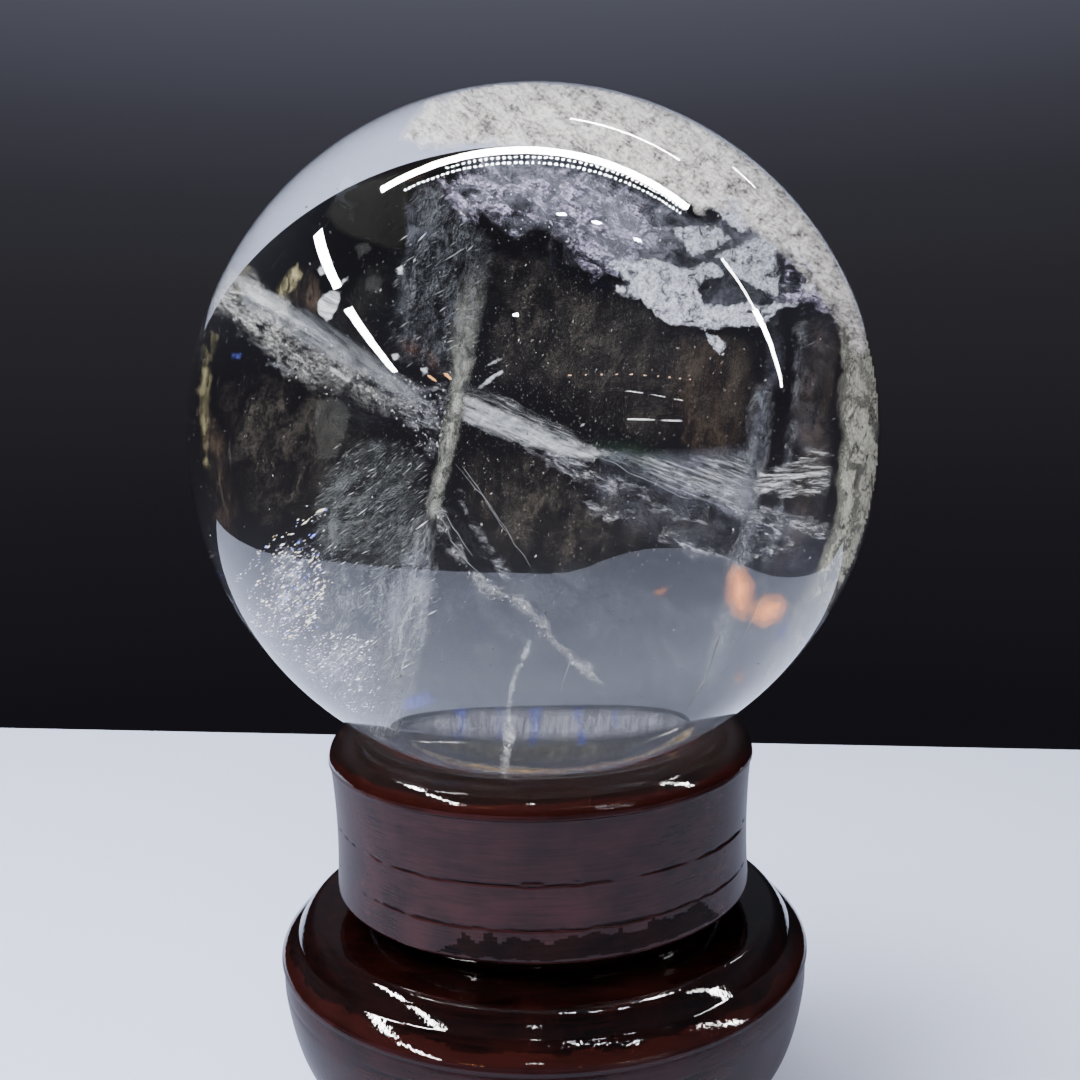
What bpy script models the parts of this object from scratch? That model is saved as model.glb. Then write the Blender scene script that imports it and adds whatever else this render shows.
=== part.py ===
"""Polished rock crystal sphere on a turned wooden stand.

The stand has two tiers, a ring whose dished top holds the sphere and a wider
base under it. Units are metres, +Z is up, and the origin is at the middle of
the base's underside. Everything is turned about the Z axis.
"""

import math

import bpy

# Driving dimensions
SPHERE_DIAMETER = 0.1000
CONTACT_GAP = 0.0003  # left between pieces that touch

BASE_HEIGHT = 0.0461
BASE_FLAT_RADIUS = 0.0348  # the level part of the top, which the ring stands on
BASE_CREASE_RADIUS = 0.0380  # a fine turned line part way down the shoulder
BASE_CREASE_HEIGHT = 0.0431
BASE_CREASE_SLOPE_ABOVE = 60.0  # degrees from level
BASE_CREASE_SLOPE_BELOW = 35.0
BASE_WIDEST_RADIUS = 0.0406
BASE_WIDEST_HEIGHT = 0.0400
BASE_SIDE_RADIUS = 0.0360  # radius of the curve that the side follows below its widest place
BASE_SIDE_LEAN = 24.0  # degrees from upright where that curve eases back into the foot
BASE_FOOT_RADIUS = 0.0335
BASE_FOOT_EDGE = 0.0008

RING_HEIGHT = 0.0274
RING_LIP_RADIUS = 0.0324  # widest place of the lip
RING_LIP_ROUNDING = 0.0041
RING_WAIST_RADIUS = 0.0314
RING_SKIRT_RADIUS = 0.0317  # lower edge of the side, which overhangs the neck
RING_SKIRT_EDGE = 0.0007
RING_NECK_RADIUS = 0.0270
RING_NECK_HEIGHT = 0.0033  # the dark gap between the two tiers
RING_HOLE_RADIUS = 0.0170
RING_SEAT_RADIUS = 0.0245  # where the dished seat runs out into the lip
SPHERE_SINK = 0.0068  # how far the sphere's lowest point lies below the top of the lip

TURNED_STEPS = 60
SPHERE_SEGMENTS = 56
SPHERE_RINGS = 28

# Heights worked out from them
RING_FOOT_HEIGHT = BASE_HEIGHT + CONTACT_GAP
RING_TOP_HEIGHT = RING_FOOT_HEIGHT + RING_HEIGHT
SPHERE_RADIUS = SPHERE_DIAMETER / 2
SPHERE_CENTRE_HEIGHT = RING_TOP_HEIGHT - SPHERE_SINK + SPHERE_RADIUS

OBJECT_NAME = "quartz_sphere_on_stand"


def arc(centre, radii, start, end, steps):
    """Points (radius, height) along part of an ellipse, angles in degrees from outwards to up."""
    points = []
    for i in range(steps + 1):
        angle = math.radians(start + (end - start) * i / steps)
        across = centre[0] + radii[0] * math.cos(angle)
        up = centre[1] + radii[1] * math.sin(angle)
        points.append((across, up))
    return points


def bend(start, corner, end, steps):
    """Points of a smooth bend that leaves start and reaches end along lines through corner."""
    points = []
    for i in range(steps + 1):
        t = i / steps
        weights = ((1 - t) ** 2, 2 * t * (1 - t), t**2)
        across = sum(w * p[0] for w, p in zip(weights, (start, corner, end)))
        up = sum(w * p[1] for w, p in zip(weights, (start, corner, end)))
        points.append((across, up))
    return points


def hollow(top, bottom, depth, steps):
    """Points down a nearly straight side that draws in by depth halfway, ends left out."""
    points = []
    for i in range(1, steps):
        t = i / steps
        across = top[0] + (bottom[0] - top[0]) * t - depth * math.sin(math.pi * t)
        points.append((across, top[1] + (bottom[1] - top[1]) * t))
    return points


def base_profile():
    """From the middle of the top, out over the shoulder, down the side and back underneath."""
    flat_edge = (BASE_FLAT_RADIUS, BASE_HEIGHT)
    crease = (BASE_CREASE_RADIUS, BASE_CREASE_HEIGHT)
    widest = (BASE_WIDEST_RADIUS, BASE_WIDEST_HEIGHT)
    run_above = (BASE_HEIGHT - crease[1]) / math.tan(math.radians(BASE_CREASE_SLOPE_ABOVE))
    drop_below = (widest[0] - crease[0]) * math.tan(math.radians(BASE_CREASE_SLOPE_BELOW))
    upper = bend(flat_edge, (crease[0] - run_above, BASE_HEIGHT), crease, 6)
    lower = bend(crease, (widest[0], crease[1] - drop_below), widest, 5)
    side_centre = (widest[0] - BASE_SIDE_RADIUS, widest[1])
    side = arc(side_centre, (BASE_SIDE_RADIUS, BASE_SIDE_RADIUS), 0, -BASE_SIDE_LEAN, 6)
    drop_to_foot = (side[-1][0] - BASE_FOOT_RADIUS) / math.tan(math.radians(BASE_SIDE_LEAN))
    foot_top = (BASE_FOOT_RADIUS, BASE_FOOT_EDGE)
    foot = bend(side[-1], (BASE_FOOT_RADIUS, side[-1][1] - drop_to_foot), foot_top, 7)
    underside = [(BASE_FOOT_RADIUS - BASE_FOOT_EDGE, 0.0), (0.0, 0.0)]
    top = [(0.0, BASE_HEIGHT), (BASE_FLAT_RADIUS / 2, BASE_HEIGHT)]
    return top + upper + lower[1:] + side[1:] + foot[1:] + underside


def ring_profile():
    """Once round the ring's section, starting at the inner side of the lip and going outwards."""
    lip_centre = (RING_LIP_RADIUS - RING_LIP_ROUNDING, RING_TOP_HEIGHT - RING_LIP_ROUNDING)
    lip = arc(lip_centre, (RING_LIP_ROUNDING, RING_LIP_ROUNDING), 112, 0, 10)
    skirt_height = RING_FOOT_HEIGHT + RING_NECK_HEIGHT
    skirt_centre = (RING_SKIRT_RADIUS - RING_SKIRT_EDGE, skirt_height + RING_SKIRT_EDGE)
    skirt = arc(skirt_centre, (RING_SKIRT_EDGE, RING_SKIRT_EDGE), 0, -90, 4)
    middle = (RING_LIP_RADIUS + RING_SKIRT_RADIUS) / 2
    side = hollow(lip[-1], skirt[0], middle - RING_WAIST_RADIUS, 7)
    neck = [(RING_NECK_RADIUS, skirt_height), (RING_NECK_RADIUS, RING_FOOT_HEIGHT)]
    hole = [(RING_HOLE_RADIUS, RING_FOOT_HEIGHT)]
    seat_radius = SPHERE_RADIUS + CONTACT_GAP
    seat = []
    for i in range(5):
        across = RING_HOLE_RADIUS + (RING_SEAT_RADIUS - RING_HOLE_RADIUS) * i / 4
        drop = math.sqrt(seat_radius**2 - across**2)
        seat.append((across, SPHERE_CENTRE_HEIGHT - drop))
    return lip + side + skirt + neck + hole + seat


def make_material(name, colour, roughness, metallic=0.0, transmission=0.0, ior=1.5):
    """A Principled material with one colour given in linear values."""
    material = bpy.data.materials.new(name)
    material.use_nodes = True
    shader = material.node_tree.nodes["Principled BSDF"]
    shader.inputs["Base Color"].default_value = (*colour, 1.0)
    shader.inputs["Roughness"].default_value = roughness
    shader.inputs["Metallic"].default_value = metallic
    shader.inputs["Transmission Weight"].default_value = transmission
    shader.inputs["IOR"].default_value = ior
    return material


def make_turned(name, profile, closed, material, collection):
    """A piece turned from a profile of (radius, height) points."""
    mesh = bpy.data.meshes.new(name)
    corners = [(across, 0.0, up) for across, up in profile]
    edges = [(i, i + 1) for i in range(len(corners) - 1)]
    if closed:
        edges.append((len(corners) - 1, 0))
    mesh.from_pydata(corners, edges, [])
    piece = bpy.data.objects.new(name, mesh)
    collection.objects.link(piece)
    mesh.materials.append(material)
    turn = piece.modifiers.new("turned", "SCREW")
    turn.axis = "Z"
    turn.steps = TURNED_STEPS
    turn.render_steps = TURNED_STEPS
    turn.use_smooth_shade = True
    turn.use_merge_vertices = True
    turn.merge_threshold = 0.00005
    return piece


def make_sphere(material, collection):
    """The crystal sphere, where it rests in the ring."""
    bpy.ops.mesh.primitive_uv_sphere_add(
        segments=SPHERE_SEGMENTS,
        ring_count=SPHERE_RINGS,
        radius=SPHERE_RADIUS,
        location=(0.0, 0.0, SPHERE_CENTRE_HEIGHT),
    )
    sphere = bpy.context.object
    sphere.name = "quartz_sphere"
    sphere.data.name = "quartz_sphere"
    for owner in list(sphere.users_collection):
        owner.objects.unlink(sphere)
    collection.objects.link(sphere)
    sphere.data.materials.append(material)
    sphere.data.shade_smooth()
    return sphere


def main():
    for old in list(bpy.data.objects):
        bpy.data.objects.remove(old, do_unlink=True)
    collection = bpy.data.collections.new(OBJECT_NAME)
    bpy.context.scene.collection.children.link(collection)

    crystal = make_material("rock_crystal", (0.93, 0.95, 0.97), 0.02, transmission=1.0, ior=1.544)
    ring_wood = make_material("lacquered_wood_ring", (0.060, 0.014, 0.010), 0.20)
    base_wood = make_material("lacquered_wood_base", (0.042, 0.010, 0.008), 0.15)

    make_turned("stand_base", base_profile(), False, base_wood, collection)
    make_turned("stand_ring", ring_profile(), True, ring_wood, collection)
    make_sphere(crystal, collection)


main()
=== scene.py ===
"""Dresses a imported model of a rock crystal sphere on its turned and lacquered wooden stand.

Everything is in metres in the model's own frame, +Z up, with the origin at the middle of the
stand's underside. Sizes that end in _MM are millimetres. The outlines of what lies inside the
sphere are millimetres too, across and up from the middle of its disc as the camera sees it.
"""

import math
from itertools import product

import bpy
import numpy as np
from bpy.props import FloatProperty, FloatVectorProperty, IntProperty, PointerProperty
from mathutils import Matrix, Vector


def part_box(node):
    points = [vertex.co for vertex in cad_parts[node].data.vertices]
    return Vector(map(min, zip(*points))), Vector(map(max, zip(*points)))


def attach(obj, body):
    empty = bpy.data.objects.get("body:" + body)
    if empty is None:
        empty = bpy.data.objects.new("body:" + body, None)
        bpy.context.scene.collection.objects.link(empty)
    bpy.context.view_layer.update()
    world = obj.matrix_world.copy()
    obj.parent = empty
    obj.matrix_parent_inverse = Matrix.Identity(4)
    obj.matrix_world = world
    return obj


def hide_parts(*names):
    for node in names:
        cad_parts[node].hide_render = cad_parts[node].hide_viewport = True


bl_info = {
    "name": "Rock crystal sphere on a turned stand",
    "version": (1, 0, 0),
    "blender": (4, 5, 0),
    "location": "3D View > Sidebar > Crystal",
    "description": "A polished crystal sphere with its inclusions, its lacquered stand and a plain studio",
    "category": "Object",
}

MM = 0.001

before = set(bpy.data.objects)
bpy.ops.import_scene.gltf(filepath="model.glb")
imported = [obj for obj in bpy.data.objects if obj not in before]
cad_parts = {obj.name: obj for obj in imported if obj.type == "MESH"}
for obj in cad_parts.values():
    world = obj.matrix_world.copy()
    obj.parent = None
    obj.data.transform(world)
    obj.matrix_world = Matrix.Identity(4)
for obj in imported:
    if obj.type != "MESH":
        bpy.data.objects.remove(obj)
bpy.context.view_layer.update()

# The sphere and the two tiers of the stand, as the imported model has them
SPHERE_LOW, SPHERE_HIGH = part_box("quartz_sphere")
SPHERE_RADIUS = (SPHERE_HIGH.x - SPHERE_LOW.x) / 2
SPHERE_CENTRE = (SPHERE_LOW + SPHERE_HIGH) / 2
RING_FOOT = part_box("stand_ring")[0].z
RING_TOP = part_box("stand_ring")[1].z
BASE_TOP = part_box("stand_base")[1].z
BODY = "root"

# Polish leaves swells on the sphere, which keep inside the solid's surface
SWELL_HEIGHT = 0.012 * MM
SWELL_WIDTH = 13 * MM
SWELL_ROOM = 0.0004  # share of the radius that they need
INCLUSION_MARGIN = 0.4 * MM  # no inclusion comes nearer to the surface
RIM_MARGIN_MM = 0.25  # sheets end this far inside the outline that is seen

# The ring's section: radii from the axis, and heights
LIP_ROUNDING = 4.1 * MM
LIP_MIDDLE_RADIUS = 28.3 * MM
LIP_STEP_RADIUS = 32.15 * MM  # a fine step between the lip and the side
LIP_STEP_DROP = 0.25 * MM
WAIST_RADIUS = 31.1 * MM
SKIRT_RADIUS = 31.7 * MM
SKIRT_EDGE = 0.7 * MM
NECK_RADIUS = 27.0 * MM
NECK_HEIGHT = 3.3 * MM
HOLE_RADIUS = 17.0 * MM
SEAT_RADIUS = 24.5 * MM  # where the dished seat runs out into the lip
CONTACT_GAP = 0.3 * MM

# The base's section: radii from the axis, and drops below its top
FLAT_RADIUS = 34.8 * MM
CREASE_RADIUS = 38.0 * MM  # a fine turned line part way down the shoulder
CREASE_DROP = 3.0 * MM
CREASE_SLOPE_ABOVE = 60  # degrees from level
CREASE_SLOPE_BELOW = 35
WIDEST_RADIUS = 40.6 * MM
WIDEST_DROP = 6.1 * MM
# Bends down the side as (corner, end, steps), each place a radius and a drop in mm
SIDE_BENDS = (((40.6, 6.5), (40.05, 6.5), 6), ((40.5, 8.5), (40.2, 11.0), 12),
              ((39.3, 18.0), (37.4, 21.0), 26))
FOOT_RADIUS = 33.5 * MM
FOOT_BEND_DROP = 29.0 * MM
FOOT_EDGE = 0.8 * MM

# Where the lacquer changes, below the top of each tier, and how wavy the turning is
RING_SATIN_DROP = 3.5 * MM
RING_RED_DROP = 2.1 * MM
RING_OUTSIDE_RADIUS = 30.5 * MM
RING_SIDE_DROP = 4.6 * MM  # where the cracked grain lines may begin
RING_SIDE_RADIUS = 30.0 * MM
RED_SEAT_RADIUS = 25.4 * MM
BASE_SATIN_DROP = 5.4 * MM
BASE_RED_DROP = 4.0 * MM
BASE_SHOULDER_DROP = 6.3 * MM
BASE_SHOULDER_RADIUS = 35.5 * MM
WAVINESS = 0.05 * MM
LIP_WAVE = 0.03 * MM
RING_RIPPLE = 0.004 * MM
BASE_RIPPLE = 0.003 * MM
BASE_LINE_DROP = 9.5 * MM  # a fine scratch round the base's side
BASE_LINE_DEPTH = 0.1 * MM
# The ring's cracked grain lines as (mm below the lip, half width in mm, first angle, last angle)
GRAIN_LINES = ((13.1, 0.03, -170, -130), (13.1, 0.09, -134, -73), (12.6, 0.04, -114, -75),
               (13.1, 0.03, -75, -45), (13.2, 0.20, -49, -20), (19.2, 0.04, -165, -130),
               (19.2, 0.11, -134, -20), (13.0, 0.06, 0, 110), (19.3, 0.09, 10, 170),
               (13.3, 0.12, 120, 165))
# The near-black patches along its lower edge, painted dark reflection: first and last angle, and their
# heights in mm below the lip
PATCHES = ((-117, -38), (5, 60), (95, 150))
PATCH_TOP_MM = 23.4
PATCH_FOOT_MM = 23.2
PATCH_REACH_MM = 2.9

# The camera, placed from the middle of the sphere
CAMERA_BACK_OFF = 0.1752
CAMERA_RISE = 0.0074
CAMERA_PITCH = 7.38  # degrees downwards
CAMERA_YAW = 0.19
CAMERA_ROLL = -1.17
LENS_MM = 38.83
SENSOR_MM = 36.0

LAMP_RISE_MM = 500.0  # how far above the sphere's centre the lamps hang

# Long lamps as (start, end, width in mm, level), with ends in mm from the sphere's centre. Level
# is the power of each square metre in watts
TUBES = [((-296, 72), (350, 6), 28, 900.0), ((-508, 147), (-616, -158), 44, 900.0),
         ((-666, -281), (-908, -967), 50, 900.0), ((539, -76), (891, -128), 12, 500.0),
         ((891, -128), (2591, -323), 40, 900.0), ((68, 222), (280, 204), 8, 500.0),
         ((399, 485), (478, 505), 10, 300.0)]
# Rows of small lamps as (start, end, count, size in mm, colour, strength)
ROWS = [((-247, 13), (338, -34), 56, (5.5, 9), "F4F6FF", 260.0),
        ((-150, 27), (340, -12), 47, (5.5, 9), "F4F6FF", 260.0),
        ((72, -184), (72, -184), 1, (26, 12), "F4F6FF", 300.0),
        ((154, -193), (154, -193), 1, (26, 12), "F4F6FF", 300.0),
        ((267, -210), (267, -210), 1, (26, 14), "F4F6FF", 300.0),
        ((-60, -640), (-60, -640), 1, (30, 30), "FFFFFF", 200.0),
        ((263, -1312), (1281, -1111), 10, (28, 22), "FFC9A0", 60.0),
        ((-720, -1199), (-589, -1208), 2, (34, 150), "FFB070", 40.0),
        ((990, -1642), (1700, -1744), 3, (260, 28), "F4F6FF", 60.0),
        ((2200, -3483), (3150, -3495), 2, (780, 230), "F4F6FF", 40.0)]
PLATE_CORNERS = 8  # each small lamp is a plate of eight corners
TABLE_TURN = 8.0  # degrees by which the table's back edge is turned
TABLE_THICKNESS = 0.012

# The sphere's outline in the square image, in pixels
IMAGE_SIZE = 1080
OUTLINE_MIDDLE = (533.5, 429.1)
OUTLINE_RADIUS = 348.3

# Large primes that scatter whole-number cells, and the shift from one pattern to the next
CELL_PRIMES = np.array((73856093, 19349663, 83492791))
MIX_PRIME = 1274126177
SEED_SHIFT = 31.7


def linear(code):
    """Linear red, green and blue from an sRGB hex code."""
    values = []
    for i in range(0, 6, 2):
        level = int(code[i:i + 2], 16) / 255
        values.append(level / 12.92 if level <= 0.04045 else ((level + 0.055) / 1.055) ** 2.4)
    return tuple(values)


def colour_property(name, description, code):
    """A colour setting whose default is an sRGB hex code."""
    return FloatVectorProperty(name=name, description=description, subtype="COLOR", size=3,
                               min=0.0, max=1.0, default=linear(code))


class CrystalSettings(bpy.types.PropertyGroup):
    """What the crystal and its specks are like."""

    refraction: FloatProperty(
        name="Refractive index", description="How strongly the quartz bends light",
        default=1.544, min=1.3, max=2.0)
    tint: colour_property(
        "Body tint", "What is left of white light after a long way through the crystal", "D6D5D6")
    speck_count: IntProperty(
        name="Specks", description="How many fine specks float in the crystal",
        default=5200, min=0, max=20000)
    speck_size: FloatProperty(
        name="Speck size", description="Mean size of a speck",
        default=0.00005, min=0.00002, max=0.001, unit="LENGTH")


class StandSettings(bpy.types.PropertyGroup):
    """Sizes and colours of the lacquered stand."""

    dark_wood: colour_property(
        "Dark wood", "Stained hardwood where the lacquer lies thick", "0A0403")
    red_wood: colour_property("Red wood", "Stained hardwood where the stain is thin", "1F0806")
    groove_depth: FloatProperty(
        name="Groove depth", description="Depth of the cracked grain lines round the ring",
        default=0.00022, min=0.0, max=0.001, unit="LENGTH")


class StudioSettings(bpy.types.PropertyGroup):
    """The plain table, backdrop and lamps."""

    table_colour: colour_property("Table", "Matt white laminate", "C4CCE8")
    table_back: FloatProperty(
        name="Table back edge", description="How far behind the stand's axis the table ends",
        default=0.230, min=0.1, max=2.0, unit="LENGTH")
    key_strength: FloatProperty(
        name="Soft light", description="Power of the large soft lamp in watts",
        default=38.0, min=0.0, max=1000.0)
    fill_strength: FloatProperty(
        name="Fill light", description="Power of the soft lamp beside the camera in watts",
        default=8.0, min=0.0, max=1000.0)


def node(tree, kind, settings=None, links=None):
    """Adds a shader node. Settings go to its sockets or its own attributes, links to its sockets."""
    made = tree.nodes.new(kind)
    for key, value in (settings or {}).items():
        if isinstance(key, int) or key in made.inputs:
            made.inputs[key].default_value = value
        else:
            setattr(made, key, value)
    for key, source in (links or {}).items():
        tree.links.new(source, made.inputs[key])
    return made


def ramp(tree, source, stops, interpolation="LINEAR"):
    """A colour ramp through (position, colour or grey level) stops."""
    made = node(tree, "ShaderNodeValToRGB", links={"Fac": source})
    made.color_ramp.interpolation = interpolation
    elements = made.color_ramp.elements
    while len(elements) < len(stops):
        elements.new(0.5)
    for element, (position, value) in zip(elements, stops):
        element.position = position
        level = (value, value, value) if isinstance(value, float) else value
        element.color = (*level, 1.0)
    return made.outputs["Color"]


def new_material(name):
    """A material with only an output node, and its node tree."""
    material = bpy.data.materials.new(name)
    material.use_nodes = True
    material.node_tree.nodes.clear()
    return material, material.node_tree


def new_object(name, vertices, faces, materials, slot=None, smooth=True):
    """A mesh object in the scene, which rides with the stand when a slot name is given; the name is not
    stored.
    """
    mesh = bpy.data.meshes.new(name)
    mesh.from_pydata(vertices, [], faces)
    mesh.update()
    for material in materials:
        mesh.materials.append(material)
    if smooth:
        mesh.shade_smooth()
    made = bpy.data.objects.new(name, mesh)
    bpy.context.scene.collection.objects.link(made)
    if slot:
        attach(made, BODY)
    return made


def lumps(points, size, seed, octaves=3):
    """Smooth values from about -1 to 1 at points (n, 3), in lumps of that size and finer ones."""
    total = np.zeros(len(points))
    weight = 1.0
    for octave in range(octaves):
        scaled = points / size * 2**octave + SEED_SHIFT * (seed + octave)
        cell = np.floor(scaled).astype(np.int64)
        share = scaled - cell
        share = share * share * (3 - 2 * share)
        for corner in product((0, 1), repeat=3):
            key = (cell + corner) * CELL_PRIMES
            mixed = key[:, 0] ^ key[:, 1] ^ key[:, 2]
            mixed = (mixed ^ (mixed >> 13)) * MIX_PRIME
            value = ((mixed ^ (mixed >> 16)) & 0xFFFF) / 32767.5 - 1
            near = np.where(corner, share, 1 - share).prod(1)
            total += weight * near * value
        weight *= 0.5
    return total


def over_sphere(spot):
    """A place at the lamps' height, given in mm from the sphere's centre."""
    return Vector((*spot, LAMP_RISE_MM)) * MM + SPHERE_CENTRE


# The way the camera looks into the sphere

def view_axes():
    """The camera's right, up and forward directions."""
    yaw, pitch, roll = (math.radians(a) for a in (CAMERA_YAW, CAMERA_PITCH, CAMERA_ROLL))
    level = math.cos(pitch)
    forward = Vector((math.sin(yaw) * level, math.cos(yaw) * level, -math.sin(pitch)))
    sideways = Vector((math.cos(yaw), -math.sin(yaw), 0.0))
    upright = sideways.cross(forward)
    right = sideways * math.cos(roll) + upright * math.sin(roll)
    return right, right.cross(forward), forward


def look_into(spots):
    """How sight lines run inside the crystal, for (n, 2) places on the disc of its outline.

    Gives, from the sphere's centre, where each line enters, its direction after bending and how
    far it runs.
    """
    refraction = bpy.context.scene.crystal.refraction
    right, upward, forward = (np.array(axis) for axis in view_axes())
    pixels_per_mm = OUTLINE_RADIUS / (SPHERE_RADIUS / MM)
    x = OUTLINE_MIDDLE[0] + spots[:, 0] * pixels_per_mm - IMAGE_SIZE / 2
    y = IMAGE_SIZE / 2 - OUTLINE_MIDDLE[1] + spots[:, 1] * pixels_per_mm
    focal = LENS_MM / SENSOR_MM * IMAGE_SIZE
    lines = forward * focal + np.outer(x, right) + np.outer(y, upward)
    lines /= np.linalg.norm(lines, axis=1)[:, None]
    eye = np.array((0.0, -CAMERA_BACK_OFF, CAMERA_RISE))
    nearest = -(lines @ eye)
    half_chord = np.sqrt(np.maximum(nearest**2 - eye @ eye + SPHERE_RADIUS**2, 0))
    enter = eye + lines * (nearest - half_chord)[:, None]
    normal = enter / np.linalg.norm(enter, axis=1)[:, None]
    facing = -(lines * normal).sum(1)
    bent = np.sqrt(1 - (1 - facing**2) / refraction**2)
    inside = lines / refraction + normal * (facing / refraction - bent)[:, None]
    run = -2 * (enter * inside).sum(1)
    return enter, inside, run


def place(spots, depth):
    """Points inside the crystal at (n, 2) places seen from the front.

    depth is 0 at its front surface and 1 at its back, as one number for each place or as a
    function of the places.
    """
    enter, inside, run = look_into(spots)
    share = depth(spots) if callable(depth) else depth
    points = enter + inside * (run * share)[:, None]
    reach = np.linalg.norm(points, axis=1)
    limit = SPHERE_RADIUS - INCLUSION_MARGIN
    points *= np.minimum(1, limit / reach)[:, None]
    return points + np.array(SPHERE_CENTRE)


def inside_distance(points, outline):
    """How far (n, 2) points lie inside a closed outline. Points outside have negative values."""
    corners = np.array(outline, float)
    nearest = np.full(len(points), np.inf)
    crossed = np.zeros(len(points), bool)
    for start, end in zip(corners, np.roll(corners, -1, axis=0)):
        along = end - start
        share = np.clip(((points - start) @ along) / (along @ along), 0, 1)
        gap = np.linalg.norm(points - start - share[:, None] * along, axis=1)
        nearest = np.minimum(nearest, gap)
        between = (start[1] > points[:, 1]) != (end[1] > points[:, 1])
        rise = along[1] if along[1] else 1e-9
        reach = start[0] + (points[:, 1] - start[1]) / rise * along[0]
        crossed ^= between & (points[:, 0] < reach)
    return np.where(crossed, nearest, -nearest)


def grid_over(outline, step):
    """Points of a square grid over an outline, and the numbers of its rows and columns."""
    corners = np.array(outline, float)
    low = corners.min(0) - 2 * step
    high = corners.max(0) + 2 * step
    xs = np.arange(low[0], high[0], step)
    ys = np.arange(low[1], high[1], step)
    across, up = np.meshgrid(xs, ys)
    return np.column_stack((across.ravel(), up.ravel())), len(ys), len(xs)


def make_sheet(name, outlines, depth, look, seed, step=0.3, ragged=0.3, lump=2.0, fade=1.6,
               relief=0.1, smooth=False, film=1.0):
    """A thin sheet inside the crystal, cut to ragged outlines drawn as seen from the front.

    depth is a function of (n, 2) places that gives how deep the sheet lies there, and look is the
    name of its film. step is the width of its cells, ragged and lump are the depth and width of
    the notches in its edge, and relief is how far it is crumpled, all in mm. The sheet's film
    attribute rises to film, a share or a function like depth, from its edges over the fade
    distance. Its drawn attribute holds the places as seen from the front, in metres.
    """
    vertices, faces, films, places = [], [], [], []
    for number, outline in enumerate(outlines):
        flat, rows, columns = grid_over(outline, step)
        # Each outline takes its pattern from another layer of the lumps
        spread = np.column_stack((flat, np.full(len(flat), 7.0 * number)))
        margin = inside_distance(flat, outline) + ragged * lumps(spread, lump, seed, 4)
        margin[np.hypot(*flat.T) > SPHERE_RADIUS / MM - RIM_MARGIN_MM] = -1
        crumple = relief * MM * lumps(spread, 0.6 * lump, seed + 9, 4)
        run = np.maximum(look_into(flat)[2], 1e-6)
        points = place(flat, depth(flat) + crumple / run)
        kept = (margin > 0).reshape(rows, columns)
        cells = kept[:-1, :-1] & kept[1:, :-1] & kept[:-1, 1:] & kept[1:, 1:]
        row, column = np.nonzero(cells)
        first = row * columns + column
        quads = np.column_stack((first, first + 1, first + columns + 1, first + columns))
        used, renumbered = np.unique(quads, return_inverse=True)
        faces.append(renumbered.reshape(quads.shape) + sum(len(v) for v in vertices))
        vertices.append(points[used])
        share = film(flat) if callable(film) else film
        films.append((share * np.clip(margin / fade, 0.02, 1))[used])
        places.append(spread[used] * MM)
    made = new_object(name, np.concatenate(vertices).tolist(), np.concatenate(faces).tolist(),
                      [film_material(look)], "rock_crystal", smooth)
    thickness = made.data.attributes.new("film", "FLOAT", "POINT")
    thickness.data.foreach_set("value", np.concatenate(films).astype(np.float32))
    drawn = made.data.attributes.new("drawn", "FLOAT_VECTOR", "POINT")
    drawn.data.foreach_set("vector", np.concatenate(places).astype(np.float32).ravel())
    return made


def scatter(outline, count, seed):
    """Random places inside an outline, as seen from the front."""
    corners = np.array(outline, float)
    spots = np.random.default_rng(seed).uniform(corners.min(0), corners.max(0), (count * 5, 2))
    return spots[inside_distance(spots, outline) > 0][:count]


def slope(middle, by_across=0.0, by_up=0.0):
    """A depth or share that changes evenly across the view, by so much for each 10 millimetres."""
    def value(spots):
        here = middle + (by_across * spots[:, 0] + by_up * spots[:, 1]) / 10
        return np.clip(here, 0.02, 0.97)
    return value


def make_grains(name, spots, depth, reach, girth, material, seed, along=None, loose=1.0, corners=4):
    """Many small grains, flakes or needles joined in one mesh.

    They lie at places seen from the front. Each is closed, with a ring of corners round its
    middle and a tip on either side. reach is half the way from tip to tip, in mm, and girth the
    size of the ring. along gives the way the tips point, and loose how freely they stray from it.
    """
    chance = np.random.default_rng(seed)
    centres = place(spots, depth)
    count = len(centres)
    axis = chance.normal(size=(count, 3)) * loose
    if along is not None:
        axis += np.array(along) / np.linalg.norm(along)
    axis /= np.linalg.norm(axis, axis=1)[:, None]
    helper = np.where(np.abs(axis[:, :1]) > 0.8, (0.0, 1.0, 0.0), (1.0, 0.0, 0.0))
    first = np.cross(axis, helper)
    first /= np.linalg.norm(first, axis=1)[:, None]
    second = np.cross(axis, first)
    scale = chance.lognormal(-0.15, 0.45, (count, 1)) * MM
    squash = chance.uniform(0.5, 1.0, (count, 1))
    parts = []
    for i in range(corners):
        angle = 2 * math.pi * (i + chance.uniform(-0.3, 0.3, (count, 1))) / corners
        out = girth * scale * chance.uniform(0.6, 1.2, (count, 1))
        parts.append(centres + out * (np.cos(angle) * first + squash * np.sin(angle) * second))
    parts.append(centres + axis * reach * scale)
    parts.append(centres - axis * reach * scale)
    vertices = np.stack(parts, axis=1).reshape(-1, 3)
    pattern = []
    for i in range(corners):
        after = (i + 1) % corners
        pattern.append((i, after, corners))
        pattern.append((after, i, corners + 1))
    faces = (np.arange(count)[:, None, None] * (corners + 2) + np.array(pattern)).reshape(-1, 3)
    made = new_object(name, vertices.tolist(), faces.tolist(), [material], "rock_crystal", False)
    tint = made.data.attributes.new("tint", "FLOAT", "FACE")
    tint.data.foreach_set("value", np.repeat(chance.random(count), len(pattern)).astype(np.float32))
    return made


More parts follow.
